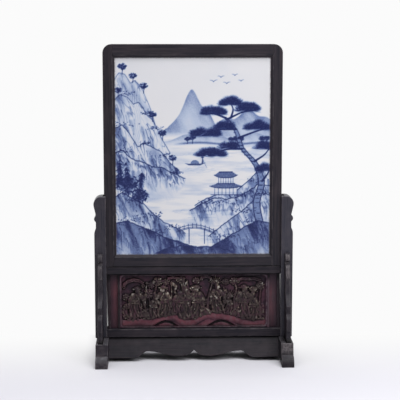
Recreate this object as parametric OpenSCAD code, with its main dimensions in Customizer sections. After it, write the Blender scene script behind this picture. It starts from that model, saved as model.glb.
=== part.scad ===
// Table screen: a porcelain plaque in a hardwood frame, which lifts out of a joined and carved stand.
// Millimetres. +Z is up, the front faces -Y, and the origin is on the table under the middle.

/* [Screen frame] */
// Width of the lift-out screen
screen_w = 287; // [230:1:330]
// Height of the lift-out screen
screen_h = 358.5; // [300:0.5:420]
// Thickness of the frame, front to back
screen_t = 20; // [18:0.5:24]
// Width of each stile
stile_w = 19; // [18:0.5:26]
// Height of the frame's top rail
top_rail_h = 21.5; // [20:0.5:28]
// Height of the frame's bottom rail
bottom_rail_h = 19; // [18:0.5:28]
// Radius of the two top corners
corner_r = 14; // [4:0.5:16]
// Width of the bevel round the sight edge
bevel_w = 4; // [2:0.5:5]
// Depth of the bevel round the sight edge
bevel_d = 3.2; // [1:0.2:4]
// Depth from the frame's face back to the plaque
lip_d = 5; // [4.5:0.5:6]
// Lap of the frame over the edge of the plaque
lip_w = 6.5; // [5:0.5:7.5]
// Length of the frame's tenons
frame_tenon_l = 8.5; // [5:0.5:9]
// Thickness of the frame's tenons, front to back
frame_tenon_t = 6; // [4:0.5:8]
// Height of the frame's tenons
frame_tenon_h = 6; // [4:0.5:7]

/* [Plaque and back] */
// Thickness of the porcelain plaque
plaque_t = 6; // [4:0.5:7]
// Thickness of the back board
back_board_t = 5; // [3:0.5:6]
// Width of the beads that hold the back board
back_bead_w = 6; // [4:0.5:9]
// Chamfer along the inner edge of the back beads
back_bead_chamfer = 2; // [0.5:0.25:2]

/* [Lift-out joint] */
// How far each stile stands in the groove of its post
groove_lap = 1.7; // [1.3:0.1:4]
// Room between the edge of a stile and the bottom of the groove
groove_room = 3.3; // [1.5:0.1:4]
// How far to the left of the middle the screen has been set down
screen_shift = 1.2; // [0:0.1:1.2]

/* [Posts] */
// Width of a post, seen from the front
post_w = 19; // [17:0.5:24]
// Depth of a post, front to back
post_d = 30; // [26:1:38]
// Height of a post above its foot
post_h = 233; // [215:1:260]
// Radius of the rounded head
head_r = 13; // [9:0.5:14]
// How far the head stands out past the post's outer face
head_proud = 0.8; // [0.2:0.2:2]
// Depth of the two necks below the head
neck_inset = 2.7; // [1.5:0.1:4]
// Radius of the bead between the necks
bead_r = 6; // [4:0.5:7]
// Drop from the top of the head to the end of its taper
neck_drop = 30; // [28:0.5:31]
// Drop from the top of the head to the middle of the bead
bead_drop = 36.5; // [36:0.5:42]
// Drop from the top of the head to the shoulder
shoulder_drop = 52; // [48:1:58]
// Height over which the shoulder rounds into the outer face
shoulder_h = 10; // [6:1:16]
// Rounding of the head's front and rear top edges
head_edge_r = 2; // [1:0.5:5]
// Width of the tenon through the foot
post_tenon_w = 10; // [7:0.5:11]
// Depth of the tenon through the foot, front to back
post_tenon_d = 20; // [16:1:24]

/* [Feet] */
// Width of a foot
foot_w = 20; // [18:0.5:26]
// Height of a foot
foot_h = 36; // [32:1:44]
// Length of a foot, front to back
foot_l = 148; // [142:1:180]
// Length of the flat top of a foot
foot_top_l = 115; // [110:1:120]
// How far the foot's outer face is set in from the post's
foot_inset = 2; // [0:0.1:2]
// Radius of the rounded toe
toe_r = 13; // [10:0.5:14]
// Height of the upright edge under the toe
toe_edge = 4; // [2:0.5:6]
// Radius of the hollow above the toe
hollow_r = 40; // [34:1:60]
// Length of the arch under a foot
arch_l = 76; // [50:1:90]
// Height of the arch under a foot
arch_h = 5; // [2:0.5:6]

/* [Standing brackets] */
// Thickness of a bracket
bracket_t = 7.5; // [5:0.5:10]
// Height of a bracket above the foot
bracket_h = 140; // [125:1:160]
// Reach of a bracket in front of the post
bracket_d = 40; // [36:1:41]
// Depth of the slot in the foot that the bracket stands in
bracket_slot = 5; // [3:0.5:8]
// Length of the stub tenons into the post
stub_l = 5; // [3:0.5:7]
// Height of the stub tenons
stub_h = 12; // [8:1:16]
// Thickness of the stub tenons
stub_t = 4; // [3:0.5:4.5]
// Height of the lower stub tenon above the foot
low_stub_z = 24; // [14:1:34]
// Drop from the bracket's top to the middle of the upper stub tenon
high_stub_drop = 30; // [22:1:45]
// Radius of the top lobe
top_lobe_r = 7; // [5:0.5:8]
// How far the top lobe is set back towards the post
top_lobe_set = 2; // [0:0.5:4]
// Radius of the second lobe
second_lobe_r = 9; // [7:0.5:10]
// Drop from the bracket's top to the middle of the second lobe
second_lobe_drop = 26; // [24:1:32]
// Radius of the third lobe
third_lobe_r = 10; // [8:0.5:12]
// How far the third lobe is set back behind the lowest one
third_lobe_set = 6; // [3:0.5:9]
// Depth of the notch between the third lobe and the lowest one
lobe_notch = 3; // [1:0.5:6]
// Height of the third lobe's middle above the foot
third_lobe_z = 56; // [50:1:62]
// Radius of the lowest lobe
low_lobe_r = 12; // [10:0.5:14]
// Height of the lowest lobe's middle above the foot
low_lobe_z = 33; // [28:1:36]
// Radius of the hollow under the lowest lobe
heel_hollow_r = 14; // [10:0.5:15]
// Depth of the hollow under the lowest lobe
heel_hollow = 3; // [1:0.5:5]
// Radius of the long hollow between the second and third lobes
sweep_r = 29; // [24:1:36]
// Reach of the bracket at the waist of the long hollow
waist = 16; // [12:0.5:18]

/* [Rails] */
// Height of the upper rail
upper_rail_h = 13.5; // [12:0.5:20]
// Depth of the upper rail, front to back
upper_rail_d = 20; // [20:1:26]
// Height of the lower rail
lower_rail_h = 14; // [12:0.5:20]
// Depth of the lower rail, front to back
lower_rail_d = 26; // [24:1:30]
// Chamfer along the rails' edges
rail_chamfer = 1; // [0.5:0.25:2]
// Length of the rails' tenons
rail_tenon_l = 10; // [6:0.5:11]
// Height of the rails' tenons
rail_tenon_h = 7; // [5:0.5:8]
// Thickness of the rails' tenons, front to back
rail_tenon_t = 12; // [8:0.5:14]

/* [Carved panel and its neighbours] */
// Height of the opening between the rails
opening_h = 90; // [76:1:110]
// Thickness of the tongues that stand in the rails
infill_tongue_t = 8; // [5:0.5:10]
// Depth of the rails' grooves
infill_groove = 3; // [2:0.25:3.5]
// Distance from the posts' mid-plane to the carved panel's face
carved_face = 8; // [6:0.5:10]
// Width of the raised border of the carved panel
border_w = 3; // [2:0.5:6]
// Depth of the sunk ground behind the relief
ground_sink = 6; // [3:0.5:7]
// Radius of the sunk ground's corners
ground_r = 5; // [2:0.5:10]
// Width of the struts beside the carved panel
strut_w = 3; // [2:0.5:8]
// Width of the red end panels
end_panel_w = 12.5; // [10:0.5:20]
// How far the end panels stand back behind the struts
end_panel_sink = 4; // [2:0.5:6]
// Width of the fillets beside the posts
fillet_w = 5.5; // [4:0.5:10]
// Shrinkage gap at the open end of a fillet
fillet_gap = 1.4; // [0.4:0.2:2]

/* [Relief on the carved panel] */
// Height of the rolling ground at the foot of the relief
hill_h = 15; // [10:0.5:18]
// How far its two rises stand above the rest
hill_rise = 11; // [4:0.5:14]
// How thick the rolling ground stands on the sunk ground
hill_t = 2.6; // [1:0.2:4]
// Height of the hollow arches under the rolling ground
hollow_h = 10; // [6:0.5:12]
// Half the span of a hollow arch
hollow_half = 22; // [14:1:26]
// How far the figures stand out from the sunk ground
figure_t = 4.6; // [3:0.2:5]
// How far the trees and clouds stand out from the sunk ground
tree_t = 3; // [2:0.2:4]

/* [Aprons] */
// Thickness of the sloping aprons
apron_t = 8; // [6:0.5:10]
// Slope of the aprons, from upright
apron_lean = 36; // [20:1:42]
// How far the apron's top stands back behind the lower rail's face
apron_set = 3; // [1:0.5:5]
// Height of the apron's straight ends above the table
apron_end_z = 6.4; // [2:0.2:8]
// Height of the hollow's high points
apron_peak_z = 15.6; // [12:0.2:20]
// Height of the two lobes beside the middle
apron_lobe_z = 8.7; // [6:0.1:11]
// Height of the cusp in the middle
apron_cusp_z = 17; // [13:0.5:22]
// Length of the straight ends, from the foot
apron_end_l = 43; // [20:1:55]
// Width of the step up from the straight ends
apron_step_w = 20; // [12:1:26]
// Distance from the middle to the lobes
apron_lobe_x = 26; // [18:1:36]
// Depth of the housing for the apron's ends in the feet
apron_housing = 4; // [2:0.5:6]

/* [Fits] */
// Room in front of and behind a stile in its groove
slide_room = 0.5; // [0.3:0.1:1]
// Room round fixed tenons and tongues
fit = 0.15; // [0.05:0.05:0.3]
// Room round the plaque in its rebate
plaque_room = 0.3; // [0.2:0.1:0.6]
// Length of the wedges in the post tenons
wedge_l = 16; // [10:1:20]
// Thickness of the wedges at their thick end
wedge_t = 2.4; // [1.5:0.1:3]
// Thickness of the wedges at their thin end
wedge_tip = 0.8; // [0.4:0.1:1.2]

/* [Hidden] */
$fn = 64;

dark_wood = "#2e292b";
worn_wood = "#3b3334";
red_lacquer = "#5e2b2d";
porcelain = "#d8dae2";
plain_board = "#5a4436";
eps = 0.5;

// Heights, from the table up
lower_rail_z = foot_h;
opening_z = lower_rail_z + lower_rail_h;
upper_rail_z = opening_z + opening_h;
seat_z = upper_rail_z + upper_rail_h;
screen_top = seat_z + screen_h;
post_top = foot_h + post_h;

// Distances from the middle plane
post_in = screen_w / 2 - groove_lap;
post_out = post_in + post_w;
post_mid = (post_in + post_out) / 2;
foot_out = post_out - foot_inset;
foot_in = foot_out - foot_w;

// Screen frame: sight opening, rebate and planes from front to back
sight_x = screen_w / 2 - stile_w;
sight_top = screen_top - top_rail_h;
sight_bottom = seat_z + bottom_rail_h;
rebate_x = sight_x + lip_w;
rebate_top = sight_top + lip_w;
rebate_bottom = sight_bottom - lip_w;
frame_front = -screen_t / 2;
frame_back = screen_t / 2;
plaque_front = frame_front + lip_d;
plaque_back = plaque_front + plaque_t;
board_back = plaque_back + back_board_t;
frame_tenon_z = [rebate_top + 1, rebate_bottom - 1 - frame_tenon_h];

// Infill between the rails: edges of its pieces, from the middle outwards
fillet_x = post_in - fillet_w;
end_panel_x = fillet_x - end_panel_w;
strut_x = end_panel_x - strut_w;
infill_back = infill_tongue_t / 2;
strut_face = carved_face + 1;

// Relief: half width of its ground, and places as shares of that half width
relief_x = strut_x - border_w;
hollow_places = [-0.39, 0.39];
cloud_places = [-0.81, -0.25, 0.2, 0.78];
// centre and breadth of each rise in the rolling ground
rises = [[-0.28, 0.17], [0.31, 0.2]];
// place and height of each tree and figure
trees = [[-0.95, 46], [-0.63, 58], [-0.08, 62], [0.2, 56], [0.58, 62], [0.93, 54]];
figures = [
    [-0.81, 50], [-0.71, 34], [-0.51, 36], [-0.41, 50], [-0.26, 43], [-0.14, 57],
    [0.03, 52], [0.33, 47], [0.48, 29], [0.69, 53], [0.81, 42]
];
// height that a figure is drawn at, and how far its axis lies behind the sunk ground
figure_tall = 50;
figure_sink = 2.6;

// Extrudes a front view (x, z) from y0 back to y1
module from_front(y0, y1) {
    translate([0, y1, 0]) rotate([90, 0, 0]) linear_extrude(y1 - y0) children();
}

// Extrudes a side view (y, z) from x0 to x1
module from_side(x0, x1) {
    translate([x0, 0, 0]) rotate([90, 0, 90]) linear_extrude(x1 - x0) children();
}

// Extrudes a plan (x, y) from z0 up to z1
module from_above(z0, z1) {
    translate([0, 0, z0]) linear_extrude(z1 - z0) children();
}

// Box between two corners
module block(low, high) {
    translate(low) cube(high - low);
}

// Rectangle between two corners
module rect(low, high) {
    translate(low) square(high - low);
}

// Turns a right-hand piece into the left-hand one
module left_hand() {
    mirror([1, 0, 0]) children();
}

// Turns a front piece into the rear one
module rear_hand() {
    mirror([0, 1, 0]) children();
}

// Moves a piece of the screen to where the screen stands between the posts
module set_down() {
    translate([-screen_shift, 0, 0]) children();
}

// Section of a frame member: distance out from the sight edge, and depth
function frame_section(w) = [
    [bevel_w, frame_front], [w, frame_front], [w, frame_back], [lip_w, frame_back],
    [lip_w, plaque_front], [0, plaque_front], [0, frame_front + bevel_d]
];

// Front outline of a frame rail's face, mitred along the bevel: sight edge at z, outer edge at z_out
module rail_face(z, z_out) {
    up = sign(z_out - z);
    half = sight_x + bevel_w;
    polygon([
        [-half, z_out], [half, z_out], [half, z + up * bevel_w],
        [sight_x, z], [-sight_x, z], [-half, z + up * bevel_w]
    ]);
}

// Tenon of a frame rail, or with some room its mortise
module frame_tenon(z, room) {
    block([rebate_x - eps * sign(room), -frame_tenon_t / 2 - room, z - room],
          [rebate_x + frame_tenon_l + room, frame_tenon_t / 2 + room, z + frame_tenon_h + room]);
}

// Screen frame: right stile, with its rounded top corner and mortises
module screen_stile() {
    color(dark_wood) difference() {
        from_above(seat_z, screen_top)
            polygon([for (p = frame_section(stile_w)) [sight_x + p[0], p[1]]]);
        from_front(frame_front - eps, plaque_front) {
            rail_face(sight_top, screen_top + eps);
            rail_face(sight_bottom, seat_z - eps);
        }
        from_front(frame_front - eps, frame_back + eps)
            translate([screen_w / 2 - corner_r, screen_top - corner_r]) difference() {
                square(corner_r + eps);
                circle(corner_r);
            }
        for (z = frame_tenon_z) frame_tenon(z, fit);
    }
}

// Screen frame: a rail with its long and short shoulders and a tenon at each end
module screen_rail(z, z_out, tenon_z) {
    up = sign(z_out - z);
    color(dark_wood) union() {
        intersection() {
            from_side(-rebate_x, rebate_x)
                polygon([for (p = frame_section(abs(z_out - z))) [p[1], z + up * p[0]]]);
            union() {
                from_front(frame_front, plaque_front) rail_face(z, z_out);
                from_front(plaque_front, frame_back)
                    rect([-rebate_x, min(z, z_out)], [rebate_x, max(z, z_out)]);
            }
        }
        frame_tenon(tenon_z, 0);
        left_hand() frame_tenon(tenon_z, 0);
    }
}

module porcelain_plaque() {
    half = rebate_x - plaque_room;
    color(porcelain) block([-half, plaque_front, rebate_bottom + plaque_room],
                           [half, plaque_back, rebate_top - plaque_room]);
}

module back_board() {
    half = rebate_x - plaque_room;
    color(plain_board) block([-half, plaque_back, rebate_bottom + plaque_room],
                             [half, board_back, rebate_top - plaque_room]);
}

// Section of a back bead: distance in from the rebate's wall, and depth
function bead_section() = [
    [0, board_back], [back_bead_w, board_back], [back_bead_w, frame_back - back_bead_chamfer],
    [back_bead_w - back_bead_chamfer, frame_back], [0, frame_back]
];

module back_cross_bead(z, inward) {
    color(dark_wood) from_side(-rebate_x, rebate_x)
        polygon([for (p = bead_section()) [p[1], z + inward * p[0]]]);
}

module back_upright_bead() {
    color(dark_wood) from_above(rebate_bottom + back_bead_w, rebate_top - back_bead_w)
        polygon([for (p = bead_section()) [rebate_x - p[0], p[1]]]);
}

// Point where a line from p touches the lower right of a circle round c
function touch_point(p, c, r) =
    let (d = p - c, angle = atan2(d[1], d[0]) + acos(r / norm(d)))
    c + r * [cos(angle), sin(angle)];

// Front outline of the right post, with the shaped outer edge below its head. Its inner edge is cut later
module post_outline() {
    inner = post_in - eps;
    head_x = post_out + head_proud - head_r;
    neck = [post_out - neck_inset, post_top - neck_drop];
    shoulder_z = post_top - shoulder_drop;
    face_z = shoulder_z - shoulder_h;
    // radius of the arc that rounds the shoulder in to the neck
    shoulder_r = (pow(neck_inset, 2) + pow(shoulder_h, 2)) / (2 * neck_inset);
    rect([inner, foot_h], [post_out, face_z]);
    intersection() {
        rect([inner, face_z - eps], [post_out, shoulder_z]);
        translate([post_out - shoulder_r, face_z]) circle(shoulder_r, $fn = 180);
    }
    rect([inner, face_z], [post_out - neck_inset, post_top - head_r]);
    translate([post_out - bead_r, post_top - bead_drop]) circle(bead_r);
    translate([head_x, post_top - head_r]) circle(head_r);
    polygon([
        [inner, post_top - head_r], [head_x, post_top - head_r],
        touch_point(neck, [head_x, post_top - head_r], head_r), neck, [inner, neck[1]]
    ]);
    rect([inner, post_top - 2 * head_r], [head_x, post_top]);
}

// Side outline of the post's upper end, with its front and rear top edges rounded
module head_side() {
    half = post_d / 2;
    rect([-half, -eps], [half, post_top - head_edge_r]);
    rect([-half + head_edge_r, foot_h], [half - head_edge_r, post_top]);
    for (s = [-1, 1]) translate([s * (half - head_edge_r), post_top - head_edge_r]) circle(head_edge_r);
}

// Tapered wedge in a post tenon, or with some room its kerf
module tenon_wedge(room) {
    half = wedge_t / 2 + room;
    tip = wedge_tip / 2 + room;
    from_side(post_mid - post_tenon_w / 2 - sign(room) * eps, post_mid + post_tenon_w / 2 + sign(room) * eps)
        polygon([[-half, arch_h - sign(room) * eps], [half, arch_h - sign(room) * eps],
                 [tip, arch_h + wedge_l + room], [-tip, arch_h + wedge_l + room]]);
}

module wedge_places() {
    for (s = [-1, 1]) translate([0, s * post_tenon_d / 4, 0]) children();
}

// Tenon of a rail in a post, or with some room its mortise
module rail_tenon(z, room) {
    block([post_in - sign(room) * eps, -rail_tenon_t / 2 - room, z - rail_tenon_h / 2 - room],
          [post_in + rail_tenon_l + room, rail_tenon_t / 2 + room, z + rail_tenon_h / 2 + room]);
}

// Stub tenons of a front bracket in the post, or with some room their mortises
module bracket_stubs(room) {
    for (z = [foot_h + low_stub_z, foot_h + bracket_h - high_stub_drop])
        block([post_mid - stub_t / 2 - room, -post_d / 2 - sign(room) * eps, z - stub_h / 2 - room],
              [post_mid + stub_t / 2 + room, -post_d / 2 + stub_l + room, z + stub_h / 2 + room]);
}

// Right post: shaped head, groove for the screen, mortises, and the wedged tenon through the foot
module post() {
    groove_x = post_in + groove_lap + groove_room;
    groove_half = screen_t / 2 + slide_room;
    color(dark_wood) difference() {
        union() {
            intersection() {
                from_front(-post_d / 2, post_d / 2) post_outline();
                from_side(post_in, post_out + head_r) head_side();
            }
            block([post_mid - post_tenon_w / 2, -post_tenon_d / 2, arch_h],
                  [post_mid + post_tenon_w / 2, post_tenon_d / 2, foot_h + eps]);
        }
        block([post_in - eps, -groove_half, seat_z], [groove_x, groove_half, post_top + eps]);
        rail_tenon(upper_rail_z + upper_rail_h / 2, fit);
        rail_tenon(lower_rail_z + lower_rail_h / 2, fit);
        bracket_stubs(fit);
        rear_hand() bracket_stubs(fit);
        wedge_places() tenon_wedge(fit / 3);
    }
}

module post_tenon_wedges() {
    color(worn_wood) {
        wedge_places() tenon_wedge(0);
        left_hand() wedge_places() tenon_wedge(0);
    }
}

// Side outline of a foot: flat top, hollow, rounded toe at each end, and the arch underneath
module foot_outline() {
    difference() {
        union() {
            rect([-foot_top_l / 2, 0], [foot_top_l / 2, foot_h]);
            for (s = [-1, 1]) mirror([s < 0 ? 1 : 0, 0]) foot_end();
        }
        rect([-arch_l / 2 + arch_h, -eps], [arch_l / 2 - arch_h, arch_h]);
        for (s = [-1, 1]) translate([s * (arch_l / 2 - arch_h), 0]) circle(arch_h);
    }
}

// One end of a foot in side view, beyond the flat top
module foot_end() {
    toe_y = foot_l / 2 - toe_r;
    difference() {
        rect([foot_top_l / 2 - eps, toe_edge], [toe_y + toe_r / 2, foot_h]);
        translate([foot_top_l / 2 + hollow_r, foot_h]) circle(hollow_r, $fn = 180);
        rect([toe_y, toe_edge + toe_r], [foot_l / 2, foot_h + eps]);
    }
    translate([toe_y, toe_edge]) intersection() {
        circle(toe_r);
        rect([-toe_r, 0], [toe_r, toe_r]);
    }
    rect([foot_top_l / 2 - eps, 0], [foot_l / 2, toe_edge]);
}

// Slot in the foot's top that a front bracket stands in
module bracket_slot_cut() {
    half = bracket_t / 2 + fit;
    block([post_mid - half, -post_d / 2 - bracket_d - fit, foot_h - bracket_slot],
          [post_mid + half, -post_d / 2 + fit, foot_h + eps]);
}

module foot() {
    color(worn_wood) difference() {
        from_side(foot_in, foot_out) foot_outline();
        block([post_mid - post_tenon_w / 2 - fit, -post_tenon_d / 2 - fit, -eps],
              [post_mid + post_tenon_w / 2 + fit, post_tenon_d / 2 + fit, foot_h + eps]);
        bracket_slot_cut();
        rear_hand() bracket_slot_cut();
        from_side(foot_in - eps, foot_in + apron_housing + fit) apron_slope(fit);
        rear_hand() from_side(foot_in - eps, foot_in + apron_housing + fit) apron_slope(fit);
    }
}

// Side outline of a bracket: reach in front of the post, and height above the foot
module bracket_outline() {
    second_z = bracket_h - second_lobe_drop;
    top_y = top_lobe_r - top_lobe_set;
    third_y = bracket_d - third_lobe_set - third_lobe_r;
    low_y = bracket_d - low_lobe_r;
    notch_z = low_lobe_z + (third_lobe_z - low_lobe_z) * low_lobe_r / (low_lobe_r + third_lobe_r);
    heel_z = (low_lobe_z - low_lobe_r) / 2;
    difference() {
        union() {
            polygon([
                [0, 0], [bracket_d, 0], [bracket_d, low_lobe_z],
                [third_y + third_lobe_r - lobe_notch, notch_z], [third_y + third_lobe_r, third_lobe_z],
                [2 * second_lobe_r, second_z], [second_lobe_r, second_z],
                [top_y, bracket_h - top_lobe_r], [0, bracket_h - top_lobe_r]
            ]);
            rect([0, bracket_h - 2 * top_lobe_r], [top_y, bracket_h]);
            translate([top_y, bracket_h - top_lobe_r]) circle(top_lobe_r);
            translate([second_lobe_r, second_z]) circle(second_lobe_r);
            translate([third_y, third_lobe_z]) circle(third_lobe_r);
            translate([low_y, low_lobe_z]) circle(low_lobe_r);
        }
        translate([waist + sweep_r, (second_z + third_lobe_z) / 2]) circle(sweep_r);
        translate([bracket_d + heel_hollow_r - heel_hollow, heel_z]) circle(heel_hollow_r);
    }
}

// Front right bracket: standing in the foot's slot and tenoned to the post
module bracket() {
    color(dark_wood) union() {
        intersection() {
            translate([0, -post_d / 2, foot_h]) mirror([0, 1, 0])
                from_side(post_mid - bracket_t / 2, post_mid + bracket_t / 2) bracket_outline();
            block([0, -post_d - bracket_d, 0], [2 * post_mid, -post_d / 2, foot_h + bracket_h]);
        }
        block([post_mid - bracket_t / 2, -post_d / 2 - bracket_d, foot_h - bracket_slot],
              [post_mid + bracket_t / 2, -post_d / 2, foot_h + eps]);
        bracket_stubs(0);
    }
}

// Section of a stand rail with chamfered edges
module rail_section(d, z0, z1) {
    c = rail_chamfer;
    polygon([
        [-d / 2 + c, z0], [d / 2 - c, z0], [d / 2, z0 + c], [d / 2, z1 - c],
        [d / 2 - c, z1], [-d / 2 + c, z1], [-d / 2, z1 - c], [-d / 2, z0 + c]
    ]);
}

// Stand rail with a tenon at each end and a groove for the infill from z0 to z1 of its height
module stand_rail(d, z0, z1, groove_z) {
    half = infill_tongue_t / 2 + fit;
    color(dark_wood) difference() {
        union() {
            from_side(-post_in, post_in) rail_section(d, z0, z1);
            rail_tenon((z0 + z1) / 2, 0);
            left_hand() rail_tenon((z0 + z1) / 2, 0);
        }
        block([-post_in - eps, -half, groove_z[0]], [post_in + eps, half, groove_z[1]]);
    }
}

module upper_rail() {
    stand_rail(upper_rail_d, upper_rail_z, seat_z, [upper_rail_z - eps, upper_rail_z + infill_groove]);
}

module lower_rail() {
    stand_rail(lower_rail_d, lower_rail_z, opening_z, [opening_z - infill_groove, opening_z + eps]);
}

// An upright infill board between the rails, from x0 to x1, with its face at the given depth
module infill_board(x0, x1, face) {
    block([x0, -face, opening_z], [x1, infill_back, upper_rail_z]);
    block([x0, -infill_back, opening_z - infill_groove + fit],
          [x1, infill_back, upper_rail_z + infill_groove - fit]);
}

// Round bar from p to q
module bar(p, q, r) {
    d = q - p;
    translate(p) rotate([0, acos(d[2] / norm(d)), atan2(d[1], d[0])]) cylinder(norm(d), r, r);
}

// One rise in the rolling ground, and the ground's height, at a share of the relief's half width
function rise_at(share, rise) = exp(-pow((share - rise[0]) / rise[1], 2));
function hill_z(share) = opening_z + hill_h + hill_rise * (rise_at(share, rises[0]) + rise_at(share, rises[1]));

// Front outline of the rolling ground, with two hollow arches along its foot
module rolling_ground() {
    steps = 60;
    half = relief_x + eps;
    arch_r = (pow(hollow_half, 2) + pow(hollow_h, 2)) / (2 * hollow_h);
    difference() {
        polygon(concat(
            [[half, opening_z], [-half, opening_z]],
            [for (i = [-steps:steps]) [half * i / steps, hill_z(i / steps)]]
        ));
        for (share = hollow_places) translate([share * relief_x, opening_z + border_w + hollow_h - arch_r])
            circle(arch_r, $fn = 180);
    }
}

// A robed figure, turned about its own axis from robe to cap, with arms that meet in front
module robed_figure() {
    rotate_extrude() {
        polygon([
            [0, 0], [7.4, 0], [7, 5], [4.7, 22], [5.2, 22.6], [5.2, 24.4], [4.7, 25],
            [5.6, 33], [4.6, 37], [1.8, 38.8], [1.8, 46], [0, 46]
        ]);
        intersection() {
            translate([0, 42]) circle(3.7);
            square([4, 50]);
        }
        polygon([[0, 45], [5, 45], [4.6, 46.2], [3, 46.4], [2.4, 50], [0, 50]]);
    }
    for (s = [-1, 1]) bar([5.4 * s, -0.6, 34.5], [1.2 * s, -6, 29], 1.9);
}

// A tree: a leaning trunk under a crown of leaf bosses, sunk so far that they stand out by tree_t
module leafy_tree(tall) {
    leaf_r = 4.2;
    trunk_r = 2;
    fork = [2.5, 0, tall - 12];
    translate([0, trunk_r - tree_t / 2, 0]) bar([0, 0, 0], fork, trunk_r);
    for (leaf = [[0, 0], [-5, 3], [4.5, 3.5], [-2.5, 7.5], [3, 8]])
        translate([fork[0] + leaf[0], leaf_r - tree_t, fork[2] + leaf[1]]) sphere(leaf_r);
}

// Front outline of a cloud that hangs from the border, three scallops wide
module cloud() {
    for (i = [-1, 0, 1]) translate([9 * i, upper_rail_z - border_w - 3 * abs(i)]) circle(6.5);
}

// The relief's space from its ground at back to a height above it
module relief_space(back, height) {
    block([-relief_x - eps, back - height, opening_z], [relief_x + eps, back + eps, upper_rail_z]);
}

// Relief: rolling ground, clouds, trees and robed figures, cut to their height above the sunk ground
module relief(back) {
    from_front(back - hill_t, back + eps) rolling_ground();
    intersection() {
        relief_space(back, tree_t);
        union() {
            from_front(back - tree_t, back + eps)
                for (share = cloud_places) translate([share * relief_x, 0]) cloud();
            for (t = trees) translate([t[0] * relief_x, back, hill_z(t[0]) - eps]) leafy_tree(t[1]);
        }
    }
    intersection() {
        relief_space(back, figure_t);
        for (f = figures) translate([f[0] * relief_x, back, hill_z(f[0]) - eps])
            scale(f[1] / figure_tall) translate([0, figure_sink, 0]) robed_figure();
    }
}

// Carved panel: a raised border round the sunk ground that carries the relief
module carved_panel() {
    back = -carved_face + ground_sink;
    ground_z = [opening_z + border_w, upper_rail_z - border_w];
    color(red_lacquer) union() {
        difference() {
            infill_board(-strut_x, strut_x, carved_face);
            from_front(-carved_face - eps, back) {
                rect([-relief_x + ground_r, ground_z[0]], [relief_x - ground_r, ground_z[1]]);
                rect([-relief_x, ground_z[0] + ground_r], [relief_x, ground_z[1] - ground_r]);
                for (s = [-1, 1], z = [ground_z[0] + ground_r, ground_z[1] - ground_r])
                    translate([s * (relief_x - ground_r), z]) circle(ground_r);
            }
        }
        relief(back);
    }
}

module strut() {
    color(dark_wood) infill_board(strut_x, end_panel_x, strut_face);
}

module end_panel() {
    color(red_lacquer) infill_board(end_panel_x, fillet_x, strut_face - end_panel_sink);
}

// Fillet beside a post, shrunk away from it towards one end
module fillet(gap_low, gap_high) {
    color(dark_wood) intersection() {
        infill_board(fillet_x, post_in, strut_face);
        from_front(-post_d, post_d) polygon([
            [fillet_x, 0], [post_in - gap_low, opening_z - infill_groove],
            [post_in - gap_high, upper_rail_z + infill_groove], [fillet_x, screen_top]
        ]);
    }
}

// Side outline of the front apron's sloping board, under the lower rail
module apron_slope(room) {
    top_y = -lower_rail_d / 2 + apron_set;
    run = (foot_h - apron_end_z + room) * tan(apron_lean);
    across = apron_t / cos(apron_lean) + room;
    polygon([
        [top_y - room, foot_h], [top_y + across, foot_h],
        [top_y + across - run, apron_end_z - room], [top_y - run - room, apron_end_z - room]
    ]);
}

// Value that goes from low to high as share goes from 0 to 1, level at both ends
function eased(low, high, share) = low + (high - low) * (1 - cos(180 * share)) / 2;

// Height of the apron's lower edge at a distance x from the middle
function apron_edge(x) =
    let (end_x = foot_in - apron_end_l, peak_x = end_x - apron_step_w)
    x >= end_x ? apron_end_z :
    x >= peak_x ? eased(apron_end_z, apron_peak_z, (end_x - x) / apron_step_w) :
    x >= apron_lobe_x ? eased(apron_lobe_z, apron_peak_z, (x - apron_lobe_x) / (peak_x - apron_lobe_x)) :
    apron_lobe_z + (apron_cusp_z - apron_lobe_z) * pow(1 - x / apron_lobe_x, 3);

// Front apron: a sloping board with a shaped lower edge, housed in the feet at its ends
module apron() {
    end_x = foot_in + apron_housing;
    shaped_x = foot_in - apron_end_l;
    steps = 60;
    color(dark_wood) intersection() {
        from_side(-end_x, end_x) apron_slope(0);
        from_front(-foot_l, 0) polygon(concat(
            [[end_x, foot_h], [-end_x, foot_h], [-end_x, apron_end_z]],
            [for (i = [-steps:steps]) let (x = shaped_x * i / steps) [x, apron_edge(abs(x))]],
            [[end_x, apron_end_z]]
        ));
    }
}

left_hand() post();  // left_post
post();  // right_post
left_hand() foot();  // left_foot
foot();  // right_foot
left_hand() bracket();  // front_left_bracket
bracket();  // front_right_bracket
left_hand() rear_hand() bracket();  // rear_left_bracket
rear_hand() bracket();  // rear_right_bracket
upper_rail();
lower_rail();
carved_panel();
left_hand() strut();  // left_strut
strut();  // right_strut
left_hand() end_panel();  // left_end_panel
end_panel();  // right_end_panel
left_hand() fillet(fillet_gap, 0);  // left_fillet
fillet(0, fillet_gap);  // right_fillet
apron();  // front_apron
rear_hand() apron();  // rear_apron
post_tenon_wedges();
set_down() left_hand() screen_stile();  // screen_left_stile
set_down() screen_stile();  // screen_right_stile
set_down() screen_rail(sight_top, screen_top, frame_tenon_z[0]);  // screen_top_rail
set_down() screen_rail(sight_bottom, seat_z, frame_tenon_z[1]);  // screen_bottom_rail
set_down() porcelain_plaque();
set_down() back_board();
set_down() back_cross_bead(rebate_top, -1);  // back_top_bead
set_down() back_cross_bead(rebate_bottom, 1);  // back_bottom_bead
set_down() left_hand() back_upright_bead();  // back_left_bead
set_down() back_upright_bead();  // back_right_bead
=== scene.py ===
import math

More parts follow.
